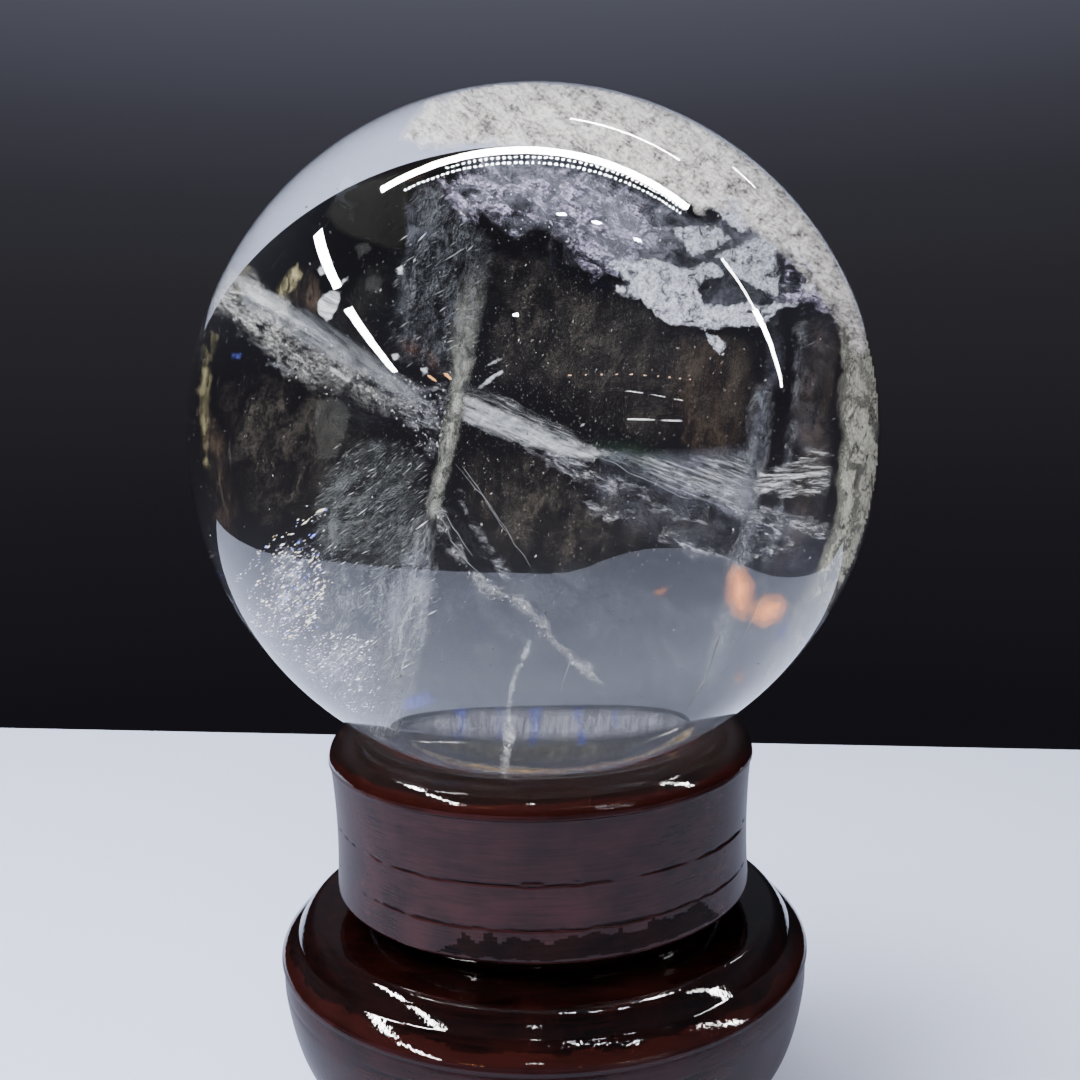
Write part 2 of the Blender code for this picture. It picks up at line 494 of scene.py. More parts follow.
def make_threads(name, lines, depth, width, material, seed, wander=0.15):
    """Fine threads inside the crystal along lines of places seen from the front, widest in the middle."""
    vertices, faces = [], []
    for number, line in enumerate(lines):
        line = np.array(line, float)
        steps = np.concatenate(([0], np.cumsum(np.linalg.norm(np.diff(line, axis=0), axis=1))))
        at = np.linspace(0, steps[-1], max(6, int(steps[-1] / 0.35)))
        spots = np.column_stack([np.interp(at, steps, line[:, i]) for i in (0, 1)])
        along = np.column_stack((at, np.full(len(at), 9.0 * number), np.zeros(len(at))))
        spots[:, 0] += wander * lumps(along, 2.0, seed, 3)
        spots[:, 1] += wander * lumps(along, 2.0, seed + 3, 3)
        middle = place(spots, depth)
        course = np.gradient(middle, axis=0)
        course /= np.linalg.norm(course, axis=1)[:, None]
        first = np.cross(course, (0.0, 1.0, 0.2))
        first /= np.linalg.norm(first, axis=1)[:, None]
        second = np.cross(course, first)
        taper = np.sin(math.pi * np.linspace(0.03, 0.97, len(at))) ** 0.5
        size = (width / 2 * MM * taper * (1 + 0.4 * lumps(along, 1.5, seed + 7, 2)))[:, None]
        start = len(vertices)
        for way_1, way_2 in ((1, 0), (0, 1), (-1, 0), (0, -1)):
            vertices.extend((middle + size * (way_1 * first + way_2 * second)).tolist())
        for side in range(4):
            for i in range(len(at) - 1):
                a = start + side * len(at) + i
                b = start + (side + 1) % 4 * len(at) + i
                faces.append((a, a + 1, b + 1, b))
    made = new_object(name, vertices, faces, [material], "rock_crystal")
    tint = made.data.attributes.new("tint", "FLOAT", "FACE")
    tint.data.foreach_set("value", np.full(len(faces), 0.6, np.float32))
    return made


# Materials of the crystal

def polished_rock_crystal():
    """Clear natural quartz, ground and polished: sharp reflections, a strong lens and a faint tint.

    Lamps shine through it in straight lines, so that the inclusions are lit evenly.
    """
    settings = bpy.context.scene.crystal
    material, tree = new_material("polished_rock_crystal")
    quartz = node(tree, "ShaderNodeBsdfPrincipled",
                  {"Base Color": (1.0, 1.0, 1.0, 1.0), "Roughness": 0.0,
                   "IOR": settings.refraction, "Transmission Weight": 1.0})
    lit_through = node(tree, "ShaderNodeBsdfTransparent", {"Color": (0.9, 0.9, 0.9, 1.0)})
    path = node(tree, "ShaderNodeLightPath")
    mix = node(tree, "ShaderNodeMixShader", links={
        0: path.outputs["Is Shadow Ray"], 1: quartz.outputs[0], 2: lit_through.outputs[0]})
    tint = node(tree, "ShaderNodeVolumeAbsorption",
                {"Color": (*settings.tint, 1.0), "Density": 6.0})
    node(tree, "ShaderNodeOutputMaterial",
         links={"Surface": mix.outputs[0], "Volume": tint.outputs[0]})
    return material


def healed_crack(name, light, dark, cover, grain_mm=0.35, patch_mm=2.5, clear=0.3, soft=0.3,
                 least=0.8, stretch=1.0, lean=0.0, roughness=0.45, relief_mm=0.05):
    """A healed crack in quartz: a film of tiny fluid drops, milky where dense and open between.

    light and dark are its colours where the drops are dense and sparse, as sRGB hex codes. cover
    is how much its densest places hide, and least how dense it stays between them. clear is the share of it
    that is open, with edges as soft as soft. stretch draws its pattern out along lean, in
    degrees from level. The grain is coarser than the real drops, which are too fine to show.
    """
    material, tree = new_material(name)
    drawn = node(tree, "ShaderNodeAttribute", {"attribute_name": "drawn"})
    turned = node(tree, "ShaderNodeMapping",
                  {"vector_type": "TEXTURE", "Rotation": (0.0, 0.0, math.radians(lean)),
                   "Scale": (stretch, 1.0, 1.0)},
                  {"Vector": drawn.outputs["Vector"]})
    fine = node(tree, "ShaderNodeTexNoise",
                {"Scale": 1 / (grain_mm * MM), "Detail": 4.0, "Roughness": 0.7},
                {"Vector": turned.outputs[0]})
    patches = node(tree, "ShaderNodeTexNoise",
                   {"Scale": 1 / (patch_mm * MM), "Detail": 5.0, "Roughness": 0.65,
                    "Distortion": 0.8},
                   {"Vector": turned.outputs[0]})
    drops = ramp(tree, fine.outputs["Fac"], [(0.36, float(least)), (0.60, 1.0)])
    edge = 0.5 + 0.26 * (clear - 0.5)
    closed = ramp(tree, patches.outputs["Fac"], [(edge - soft / 2, 0.0), (edge + soft / 2, 1.0)])
    film = node(tree, "ShaderNodeAttribute", {"attribute_name": "film"})
    cover_here = node(tree, "ShaderNodeMath", {"operation": "MULTIPLY", 1: cover},
                      {0: film.outputs["Fac"]})
    for part in (drops, closed):
        cover_here = node(tree, "ShaderNodeMath", {"operation": "MULTIPLY"},
                          {0: cover_here.outputs[0], 1: part})
    blend = node(tree, "ShaderNodeMix", {"data_type": "FLOAT", 0: 0.5},
                 {2: fine.outputs["Fac"], 3: patches.outputs["Fac"]})
    tone = ramp(tree, blend.outputs[0],
                [(max((edge + 0.38) / 2, 0.39), linear(dark)), (0.58, linear(light))])
    relief = node(tree, "ShaderNodeBump", {"Strength": 0.8, "Distance": relief_mm * MM},
                  {"Height": fine.outputs["Fac"]})
    shader = node(tree, "ShaderNodeBsdfPrincipled",
                  {"Roughness": roughness, "Specular IOR Level": 0.1},
                  {"Base Color": tone, "Alpha": cover_here.outputs[0],
                   "Normal": relief.outputs["Normal"]})
    node(tree, "ShaderNodeOutputMaterial", links={"Surface": shader.outputs[0]})
    return material


# The films of the cracks and layers, as healed_crack takes them
FILMS = {
    # Plates of dense drops, which look like crumpled frost
    "icy_crack_plate": dict(light="E4E8F8", dark="686A74", cover=0.98, grain_mm=0.36, patch_mm=1.8,
        clear=0.05, soft=0.12),
    # A torn veil, white in strands and clear between them
    "torn_ice_veil": dict(light="BEB8D6", dark="0C0C14", cover=0.9, grain_mm=0.36, patch_mm=2.0, clear=0.5,
        soft=0.1, least=0.35, stretch=1.7, lean=-25, relief_mm=0.08),
    # A beige crust of many small flaws with dark pits
    "mottled_crust": dict(light="CECAC8", dark="2E2A28", cover=1.0, grain_mm=0.5, patch_mm=2.6, clear=-0.4,
        soft=0.1, least=1.0, stretch=1.4, lean=-35, relief_mm=0.08),
    # So thin that it only greys what lies behind
    "thin_haze": dict(light="A8ACC0", dark="484C56", cover=0.4, grain_mm=0.4, patch_mm=4.0, least=0.5,
        relief_mm=0.03),
    # The crust where it thins out and runs upright
    "thinned_crust": dict(light="A2A298", dark="56574E", cover=0.9, grain_mm=0.3, patch_mm=1.6, clear=0.16,
        stretch=2.0, lean=84, relief_mm=0.06),
    # Smooth and milky, like breath on glass
    "glassy_crack_face": dict(light="DCE2EC", dark="70747C", cover=0.58, grain_mm=1.2, clear=-0.1,
        soft=0.4, least=0.6, stretch=7.0, lean=-33, roughness=0.3, relief_mm=0.02),
    # Grey and dusty, with darker gaps
    "dusty_crack_face": dict(light="C0C0BE", dark="242422", cover=0.5, patch_mm=2.0, clear=0.28, soft=0.25,
        least=0.35, stretch=1.8, lean=-33, relief_mm=0.06),
    # The brightest face, which runs on in streaks
    "bright_crack_face": dict(light="E4E8EC", dark="8A8E94", cover=0.95, grain_mm=0.5, patch_mm=1.4,
        clear=-0.15, least=0.75, stretch=6.0, lean=-24),
    # Fine parallel streaks, clear between them
    "streaked_crack_face": dict(light="D0D4DA", dark="34363A", cover=0.66, patch_mm=1.2, clear=0.36,
        soft=0.25, least=0.25, stretch=9.0, lean=-22),
    # Small torn flakes like feathers
    "feathered_crack": dict(light="B4B6BE", dark="30303A", cover=0.66, grain_mm=0.32, patch_mm=1.1,
        clear=0.42, soft=0.2, least=0.35, stretch=3.0, lean=-18, relief_mm=0.06),
    # White and level, like strokes of a dry brush
    "level_streaks": dict(light="F0F2F6", dark="5A5E62", cover=0.85, patch_mm=0.9, clear=0.42, soft=0.14,
        least=0.4, stretch=7.0, lean=2),
    # An olive-grey phantom, even and half see-through
    "grey_growth_layer": dict(light="B4B6AE", dark="62645C", cover=0.74, grain_mm=0.25, patch_mm=1.4,
        clear=-0.1, soft=0.4, least=0.7, stretch=1.6, lean=78, relief_mm=0.03),
    # Fine dark and pale speckles
    "speckled_growth_layer": dict(light="989EA6", dark="1C1E22", cover=0.52, grain_mm=0.3, patch_mm=1.8,
        clear=0.35, soft=0.25, least=0.15, stretch=2.2, lean=74, relief_mm=0.06),
    # Short slanting strokes like fur
    "furred_growth_layer": dict(light="868C8C", dark="1C2020", cover=0.42, grain_mm=0.26, patch_mm=2.2,
        clear=0.2, soft=0.35, least=0.2, stretch=3.0, lean=32, relief_mm=0.04),
    # Brown dust, so thin that the dark room shows through
    "dusty_growth_zone": dict(light="70695F", dark="241F1A", cover=0.32, grain_mm=0.32, patch_mm=3.0,
        clear=0.4, least=0.05, stretch=2.0, lean=72, relief_mm=0.03),
    # A flat face, no more than a breath of grey
    "flat_crack_face": dict(light="8A8C88", dark="6C6E68", cover=0.06, grain_mm=3.0, patch_mm=6.0,
        clear=-0.2, soft=0.08, roughness=0.3, relief_mm=0.01),
    # Painted shade: a nearly black film that darkens what lies behind it
    "painted_shade_face": dict(light="0C0B09", dark="060504", cover=1.0, grain_mm=0.6, patch_mm=3.0,
        clear=-0.4, least=1.0, stretch=2.0, lean=60, roughness=1.0, relief_mm=0.01),
    # Pale ribs that stand side by side
    "ribbed_growth_layer": dict(light="AEB2B6", dark="34383C", cover=0.62, patch_mm=1.0, least=0.3,
        stretch=5.0, lean=76),
    # Blue-grey dust in the clear part
    "fine_dust_in_clear_part": dict(light="60666E", dark="14181C", cover=0.42, clear=0.2, soft=0.4,
        least=0.4, stretch=2.0, lean=-50, relief_mm=0.03),
    # Stained by a little iron: olive and rust brown
    "olive_stained_film": dict(light="B4AA80", dark="4C472C", cover=0.55, grain_mm=0.5, patch_mm=1.8,
        least=0.4, stretch=4.0, lean=84, relief_mm=0.03),
    "rust_stained_film": dict(light="6A5848", dark="2A221C", cover=0.38, patch_mm=2.2, clear=0.35,
        least=0.25, stretch=3.0, lean=80, relief_mm=0.03),
    # Painted caustic: orange light that a lamp throws through the sphere, painted as a bright orange film
    "painted_orange_caustic_face": dict(light="FF9A50", dark="F08C48", cover=0.9, grain_mm=2.0, patch_mm=6.0,
        clear=-0.4, least=0.9, relief_mm=0.01),
    # Blue and green gleams of small faces, painted as coloured films
    "blue_gleam": dict(light="4C58B0", dark="3A44A0", cover=0.6, grain_mm=0.5, patch_mm=1.6, clear=0.0,
        soft=0.4, least=0.6, stretch=4.0, lean=88, relief_mm=0.02),
    "green_gleam": dict(light="38603E", dark="30503A", cover=0.12, grain_mm=0.8, patch_mm=3.0, clear=-0.2,
        soft=0.4, least=0.7, stretch=4.0, lean=-20, relief_mm=0.01),
    # The seat seen through the sphere's foot, painted: grey-green for painted shade, pale lilac for painted
    # light and beige for the painted reflection of the lip
    "painted_seat_shade_film": dict(light="84826E", dark="44463A", cover=0.62, grain_mm=0.4, clear=-0.1, soft=0.4,
        least=0.7, stretch=2.5, lean=88, relief_mm=0.02),
    "painted_seat_light_film": dict(light="C4C8D6", dark="9498AA", cover=0.5, grain_mm=0.8, clear=-0.3, soft=0.4,
        stretch=5.0, lean=88, relief_mm=0.01),
    "painted_lip_reflection_film": dict(light="C6AE88", dark="7C6C50", cover=0.8, grain_mm=0.6, patch_mm=3.0, clear=0.0,
        soft=0.4, least=0.7, stretch=5.0, relief_mm=0.02),
    # Frost between the flecks
    "frosted_strokes": dict(light="DCE0EE", dark="70748A", cover=0.6, patch_mm=1.0, clear=0.45, soft=0.2,
        least=0.3, stretch=3.0, lean=42),
}


def film_material(name):
    """The film of that name, made the first time that it is asked for."""
    return bpy.data.materials.get(name) or healed_crack(name, **FILMS[name])


def bright_grains(name, stops, roughness=0.3):
    """Fluid drops and crack splinters of slightly unlike colour; the white and rainbow-coloured ones are
    painted glints, bright points painted into their colour.
    """
    material, tree = new_material(name)
    tint = node(tree, "ShaderNodeAttribute", {"attribute_name": "tint"})
    colour = ramp(tree, tint.outputs["Fac"], [(share, linear(code)) for share, code in stops])
    shader = node(tree, "ShaderNodeBsdfPrincipled", {"Roughness": roughness}, {"Base Color": colour})
    node(tree, "ShaderNodeOutputMaterial", links={"Surface": shader.outputs[0]})
    return material


# Materials of the stand

def lacquered_hardwood(name, dark, red, coat, coat_roughness):
    """Turned hardwood, stained red-brown and lacquered: fine level grain lines under a clear coat.

    dark is its colour where the stain has pooled and red where it is thin. The coat is sharp
    where the lacquer still shines and rougher where it has worn to a satin sheen. The grain
    lines lie about 1.5 mm apart and run level.
    """
    material, tree = new_material(name)
    place_on = node(tree, "ShaderNodeTexCoord")
    level_grain = node(tree, "ShaderNodeMapping", {"Scale": (0.2, 0.5, 5.0)},
                       {"Vector": place_on.outputs["Object"]})
    streaks = node(tree, "ShaderNodeTexNoise",
                   {"Scale": 1 / (1.5 * MM), "Detail": 6.0, "Roughness": 0.65,
                    "Distortion": 0.4},
                   {"Vector": level_grain.outputs[0]})
    stain = node(tree, "ShaderNodeTexNoise", {"Scale": 1 / (6 * MM), "Detail": 4.0},
                 {"Vector": place_on.outputs["Object"]})
    blend = node(tree, "ShaderNodeMix", {"data_type": "FLOAT", 0: 0.45},
                 {2: streaks.outputs["Fac"], 3: stain.outputs["Fac"]})
    colour = ramp(tree, blend.outputs[0], [(0.38, tuple(dark)), (0.62, tuple(red))])
    groove = node(tree, "ShaderNodeAttribute", {"attribute_name": "groove"})
    stained = node(tree, "ShaderNodeMix", {"data_type": "RGBA", 7: (0.002, 0.001, 0.001, 1.0)},
                   {0: groove.outputs["Fac"], 6: colour})
    worn = node(tree, "ShaderNodeMapRange", {"To Min": 0.3, "To Max": 0.55},
                {"Value": streaks.outputs["Fac"]})
    pores = node(tree, "ShaderNodeBump", {"Strength": 0.35, "Distance": 0.00003},
                 {"Height": streaks.outputs["Fac"]})
    # Dust under the lacquer and its uneven flow break up what it mirrors
    flow = node(tree, "ShaderNodeTexNoise", {"Scale": 1 / (0.9 * MM), "Detail": 3.0},
                {"Vector": place_on.outputs["Object"]})
    uneven = node(tree, "ShaderNodeBump", {"Strength": 0.6, "Distance": 0.00005},
                  {"Height": flow.outputs["Fac"]})
    shader = node(tree, "ShaderNodeBsdfPrincipled",
                  {"Specular IOR Level": 0.0, "Coat Weight": coat,
                   "Coat Roughness": coat_roughness, "Coat IOR": 1.5},
                  {"Base Color": stained.outputs[2], "Roughness": worn.outputs[0],
                   "Normal": pores.outputs["Normal"], "Coat Normal": uneven.outputs["Normal"]})
    node(tree, "ShaderNodeOutputMaterial", links={"Surface": shader.outputs[0]})
    return material


# Shapes turned round the stand's axis

def arc(centre, radius, start, end, steps):
    """Points (radius, height) along part of a circle, angles in degrees from outwards to up."""
    angles = np.radians(np.linspace(start, end, steps + 1))
    return np.column_stack((centre[0] + radius * np.cos(angles), centre[1] + radius * np.sin(angles)))


def bend(start, corner, end, steps):
    """Points of a smooth bend that leaves start and reaches end along lines through corner."""
    t = np.linspace(0, 1, steps + 1)[:, None]
    return (1 - t) ** 2 * np.array(start) + 2 * t * (1 - t) * np.array(corner) + t**2 * np.array(end)


def straight(start, end, steps):
    """Points along a straight line."""
    return np.linspace(start, end, steps + 1)


def join(*runs):
    """One profile from runs of points, with doubled points left out."""
    points = np.concatenate(runs)
    apart = np.linalg.norm(np.diff(points, axis=0), axis=1) > 1e-7
    return points[np.concatenate(([True], apart))]


def make_turned(name, profile, closed, materials, zone_of, shape, slot, segments=320):
    """A turned piece with its profile swept round the axis, worn and grooved by the shape function.

    shape takes radius, height and angle arrays and gives changes of radius and height and how
    deep a groove is. zone_of takes the same and gives the number of the material there.
    """
    angles = np.linspace(0, 2 * math.pi, segments, endpoint=False)
    radius = np.repeat(profile[:, 0], segments)
    height = np.repeat(profile[:, 1], segments)
    angle = np.tile(angles, len(profile))
    change_out, change_up, groove = shape(radius, height, angle)
    radius_now = np.maximum(radius + np.where(radius > 0, change_out, 0), 0)
    vertices = np.column_stack((radius_now * np.cos(angle), radius_now * np.sin(angle),
                                height + change_up))
    row, i = np.divmod(np.arange((len(profile) - (not closed)) * segments), segments)
    below = (row + 1) % len(profile)
    after = (i + 1) % segments
    faces = np.column_stack((row * segments + i, below * segments + i,
                             below * segments + after, row * segments + after))
    middle = (profile[row] + profile[below]) / 2
    zones = zone_of(middle[:, 0], middle[:, 1], (angles[i] + math.pi / segments))
    made = new_object(name, vertices.tolist(), faces.tolist(), materials, slot)
    made.data.polygons.foreach_set("material_index", zones)
    attribute = made.data.attributes.new("groove", "FLOAT", "POINT")
    attribute.data.foreach_set("value", groove.astype(np.float32))
    return made


def ring_profile():
    """Once round the ring's section, in metres, from the inner side of the lip outwards and down."""
    centre = (LIP_MIDDLE_RADIUS, RING_TOP - LIP_ROUNDING)
    lip = arc(centre, LIP_ROUNDING, 112, 0, 90)
    step = (LIP_STEP_RADIUS, centre[1] - LIP_STEP_DROP)
    skirt = RING_FOOT + NECK_HEIGHT
    edge_top = skirt + SKIRT_EDGE
    side = bend(step, (WAIST_RADIUS, (step[1] + skirt) / 2), (SKIRT_RADIUS, edge_top), 100)
    edge = arc((SKIRT_RADIUS - SKIRT_EDGE, edge_top), SKIRT_EDGE, 0, -90, 10)
    under = straight(edge[-1], (NECK_RADIUS, skirt), 6)
    neck = straight((NECK_RADIUS, skirt), (NECK_RADIUS, RING_FOOT), 4)
    foot = straight((NECK_RADIUS, RING_FOOT), (HOLE_RADIUS, RING_FOOT), 6)
    across = np.linspace(HOLE_RADIUS, SEAT_RADIUS, 24)
    drop = np.sqrt((SPHERE_RADIUS + CONTACT_GAP) ** 2 - across**2)
    seat = np.column_stack((across, SPHERE_CENTRE.z - drop))
    return join(lip, straight(lip[-1], step, 3), side, edge, under, neck, foot,
                straight(foot[-1], seat[0], 10), seat, straight(seat[-1], lip[0], 8)[:-1])


def base_profile():
    """From the middle of the base's top out over the shoulder, down the side and back underneath."""
    crease = (CREASE_RADIUS, BASE_TOP - CREASE_DROP)
    widest = (WIDEST_RADIUS, BASE_TOP - WIDEST_DROP)
    run_above = CREASE_DROP / math.tan(math.radians(CREASE_SLOPE_ABOVE))
    drop_below = (WIDEST_RADIUS - CREASE_RADIUS) * math.tan(math.radians(CREASE_SLOPE_BELOW))
    runs = [straight((0.0, BASE_TOP), (FLAT_RADIUS, BASE_TOP), 40)]
    runs.append(bend(runs[-1][-1], (CREASE_RADIUS - run_above, BASE_TOP), crease, 26))
    runs.append(bend(crease, (WIDEST_RADIUS, crease[1] - drop_below), widest, 26))
    for corner, end, steps in SIDE_BENDS:
        corner, end = ((radius * MM, BASE_TOP - drop * MM) for radius, drop in (corner, end))
        runs.append(bend(runs[-1][-1], corner, end, steps))
    runs.append(bend(runs[-1][-1], (FOOT_RADIUS, BASE_TOP - FOOT_BEND_DROP), (FOOT_RADIUS, FOOT_EDGE), 60))
    runs.append(straight(runs[-1][-1], (FOOT_RADIUS - FOOT_EDGE, 0.0), 3))
    runs.append(straight(runs[-1][-1], (0.0, 0.0), 12))
    return join(*runs)


def around_axis(height, angle):
    """Coordinates for noise that closes smoothly round the axis, 1 at the rim's radius."""
    return np.column_stack((np.cos(angle), np.sin(angle), height / (30 * MM)))


def ripples(radius, height, angle, seed):
    """Fine turned ripples in thick lacquer, up to about 1, that come and go round the axis."""
    around = around_axis(height, angle)
    along = (radius - 0.7 * height) / (0.25 * MM) + 2.0 * lumps(around, 0.12, seed)
    return np.sin(along * math.pi) * np.clip(lumps(around, 0.08, seed + 1) + 0.5, 0, 1)


def over_stretch(angle, start, end, taper):
    """1 between two angles in degrees, where -90 is the front, and falling to 0 at both ends."""
    half = (end - start) / 2
    turned = (np.degrees(angle) - (start + end) / 2 + 180) % 360 - 180
    return np.clip((half - np.abs(turned)) / taper, 0, 1)


def around_ring(height, angle):
    """How far below the lip, in mm, a place on the ring's side lies, following the uneven grain."""
    level = around_axis(np.zeros(len(angle)), angle)
    wave = 0.25 * lumps(level, 0.5, 11, 2) + 0.1 * lumps(level, 0.06, 31, 2)
    return (RING_TOP - height) / MM + wave, level


def dark_patch(height, angle):
    """Where a near-black patch of painted dark reflection, with ragged tips, covers the lower edge of the
    ring.
    """
    below, level = around_ring(height, angle)
    tips = 1.2 * lumps(level, 0.05, 71, 3) * over_stretch(angle, -180, 180, 60)
    reach = sum(over_stretch(angle, start, end, 8) for start, end in PATCHES)
    return ((below > PATCH_TOP_MM - PATCH_REACH_MM * reach + tips * reach)
            & (below < PATCH_FOOT_MM + 0.2 * tips) & (reach > 0))


def ring_wear(radius, height, angle):
    """Unevenness of the ring: a slightly wavy lip and cracked grain lines round the side."""
    settings = bpy.context.scene.stand
    around = around_axis(height, angle)
    out = WAVINESS * lumps(around, 0.5, 3)
    side = (height < RING_TOP - RING_SIDE_DROP) & (radius > RING_SIDE_RADIUS)
    out += np.where(side, 0, RING_RIPPLE * ripples(radius, height, angle, 61))
    below, level = around_ring(height, angle)
    groove = np.zeros(len(radius))
    for number, (under, half_width, start, end) in enumerate(GRAIN_LINES):
        width = half_width * (1 + 0.6 * lumps(level, 0.1, 21 + number, 3))
        width *= over_stretch(angle, start, end, 12) ** 0.5
        distance = np.abs(below - under)
        groove = np.maximum(groove, np.clip(1.5 - distance / np.maximum(width, 0.001), 0, 1))
    groove = np.where(side, groove, 0)
    return out - settings.groove_depth * groove, LIP_WAVE * lumps(around, 0.4, 5), groove


def base_wear(radius, height, angle):
    """Unevenness of the base: turning ripples in the shoulder's lacquer, and a line round the side."""
    around = around_axis(height, angle)
    shoulder = (height > BASE_TOP - BASE_SHOULDER_DROP) & (radius > BASE_SHOULDER_RADIUS)
    out = WAVINESS * lumps(around, 0.6, 43)
    up = np.where(shoulder, BASE_RIPPLE * ripples(radius, height, angle, 45), 0)
    distance = np.abs(height - BASE_TOP + BASE_LINE_DROP - 0.4 * MM * lumps(around, 0.5, 47))
    half_width = (0.14 * MM * (1 + lumps(around, 0.2, 49))).clip(0.02 * MM)
    groove = np.clip(1.3 - distance / half_width, 0, 1)
    return out - BASE_LINE_DEPTH * groove, up, groove


def smooth_through(points, steps):
    """Places on a smooth curve through points, of which the first and last only steer its ends."""
    curve = []
    for four in zip(points, points[1:], points[2:], points[3:]):
        before, start, end, after = (np.array(point) for point in four)
        square = 2 * before - 5 * start + 4 * end - after
        cube = 3 * (start - end) + after - before
        for t in np.linspace(0, 1, steps, endpoint=False):
            curve.append(start + 0.5 * t * (end - before + t * (square + t * cube)))
    return curve


# Operators

class CRYSTAL_OT_stage(bpy.types.Operator):
    """Adds the table, the dark backdrop light, the lamps and the camera"""

    bl_idname = "crystal.stage"
    bl_label = "Table, light and camera"

    def execute(self, context):
        settings = context.scene.studio
        context.scene.cycles.transparent_max_bounces = 40
        self.add_camera(context)
        self.add_table(settings)
        self.add_backdrop(context)
        self.add_lamps(settings)
        return {"FINISHED"}

    def add_camera(self, context):
        camera = bpy.data.objects.new("camera", bpy.data.cameras.new("camera"))
        context.scene.collection.objects.link(camera)
        right, up, forward = view_axes()
        turn = Matrix((right, up, -forward)).transposed().to_4x4()
        spot = SPHERE_CENTRE + Vector((0.0, -CAMERA_BACK_OFF, CAMERA_RISE))
        camera.matrix_world = Matrix.Translation(spot) @ turn
        camera.data.lens = LENS_MM
        camera.data.sensor_width = SENSOR_MM
        camera.data.clip_start = 0.01
        context.scene.camera = camera

    def add_table(self, settings):
        """A plain round-cornered table. Its edge shows as the wavy line in the sphere's reflection."""
        material, tree = new_material("matt_white_laminate")
        shader = node(tree, "ShaderNodeBsdfPrincipled",
                      {"Base Color": (*settings.table_colour, 1.0), "Roughness": 0.75})
        node(tree, "ShaderNodeOutputMaterial", links={"Surface": shader.outputs[0]})
        back = settings.table_back
        turn = math.tan(math.radians(TABLE_TURN))
        corners = [(-0.45, back + 0.45 * turn), (-0.42, 0.25), (-0.24, -0.06), (-0.13, -0.15),
                   (-0.04, -0.178), (0.03, -0.178), (0.09, -0.195), (0.14, -0.185), (0.185, -0.13),
                   (0.198, -0.02), (0.25, 0.12), (0.31, back - 0.31 * turn)]
        outline = [corners[0], *smooth_through(corners, 12), corners[-2], corners[-1]]
        count = len(outline)
        vertices = [(x, y, height) for height in (0.0, -TABLE_THICKNESS) for x, y in outline]
        faces = [tuple(range(count)), tuple(range(2 * count - 1, count - 1, -1))]
        for i in range(count):
            after = (i + 1) % count
            faces.append((i, i + count, after + count, after))
        new_object("table", vertices, faces, [material], smooth=False)

    def add_backdrop(self, context):
        world = bpy.data.worlds.new("dark_backdrop")
        context.scene.world = world
        world.use_nodes = True
        tree = world.node_tree
        tree.nodes.clear()
        direction = node(tree, "ShaderNodeTexCoord")
        split = node(tree, "ShaderNodeSeparateXYZ", links={0: direction.outputs["Generated"]})
        rise = node(tree, "ShaderNodeMapRange", {"From Min": -1.0, "From Max": 1.0},
                    {"Value": split.outputs["Z"]})
        # Each level is (degrees above the horizon, colour)
        levels = [(-90, (0.008, 0.008, 0.009)), (-15, (0.009, 0.008, 0.011)),
                  (-5.4, (0.015, 0.0135, 0.018)), (4.6, (0.027, 0.026, 0.031)),
                  (8.9, (0.035, 0.035, 0.044)), (12.4, (0.050, 0.050, 0.066)),
                  (17.3, (0.086, 0.090, 0.118)), (23.0, (0.12, 0.13, 0.16)),
                  (35.0, (0.10, 0.11, 0.14)), (55.0, (0.06, 0.065, 0.08)), (90.0, (0.05, 0.055, 0.07))]
        stops = [((math.sin(math.radians(a)) + 1) / 2, colour) for a, colour in levels]
        colour = ramp(tree, rise.outputs[0], stops)
        background = node(tree, "ShaderNodeBackground", {"Strength": 1.0}, {"Color": colour})
        node(tree, "ShaderNodeOutputWorld", links={"Surface": background.outputs[0]})

    def add_lamps(self, settings):
        self.add_lamp("soft_key", spot=(-0.50, -0.28, 0.90), target=(0.0, 0.02, 0.05),
                      size=(0.7, 0.7), power=settings.key_strength, colour=(0.96, 0.98, 1.0))
        self.add_lamp("soft_fill", spot=(0.10, -0.80, 0.45), target=(0.0, 0.0, 0.1),
                      size=(0.5, 0.5), power=settings.fill_strength, colour=(1.0, 0.99, 0.97))
        # Lamps that show only where something polished mirrors them
        for number, (start, end, width, level) in enumerate(TUBES):
            start, end = over_sphere(start), over_sphere(end)
            middle = (start + end) / 2
            size = ((end - start).length, width * MM)
            lamp = self.add_lamp(f"tube_lamp_{number + 1}", middle, middle - Vector((0, 0, 1)), size,
                                 power=level * size[0] * size[1], colour=(1, 1, 1), mirrored=True)
            lamp.rotation_euler = (0.0, 0.0, math.atan2(end.y - start.y, end.x - start.x))
        self.add_points("lamp_rows", ROWS)

    def add_points(self, name, rows):
        """Rows of small glowing plates."""
        vertices, faces, zones, materials = [], [], [], []
        for start, end, count, size, colour, strength in rows:
            material, tree = new_material(f"{name}_{len(materials) + 1}")
            glow = node(tree, "ShaderNodeEmission",
                        {"Color": (*linear(colour), 1.0), "Strength": strength})
            node(tree, "ShaderNodeOutputMaterial", links={"Surface": glow.outputs[0]})
            start, end = over_sphere(start), over_sphere(end)
            along = (end - start).normalized() if count > 1 else Vector((1.0, 0.0, 0.0))
            beside = Vector((-along.y, along.x, 0.0))
            for i in range(count):
                middle = start.lerp(end, i / max(count - 1, 1))
                first = len(vertices)
                for k in range(PLATE_CORNERS):
                    angle = 2 * math.pi * (k + 0.5) / PLATE_CORNERS
                    vertices.append(middle + along * (math.cos(angle) * size[0] / 2 * MM)
                                    + beside * (math.sin(angle) * size[1] / 2 * MM))
                faces.append(tuple(reversed(range(first, first + PLATE_CORNERS))))
                zones.append(len(materials))
            materials.append(material)
        made = new_object(name, vertices, faces, materials, smooth=False)
        made.data.polygons.foreach_set("material_index", zones)
        made.visible_camera = False
        made.visible_diffuse = False
        made.visible_transmission = False
        made.visible_shadow = False

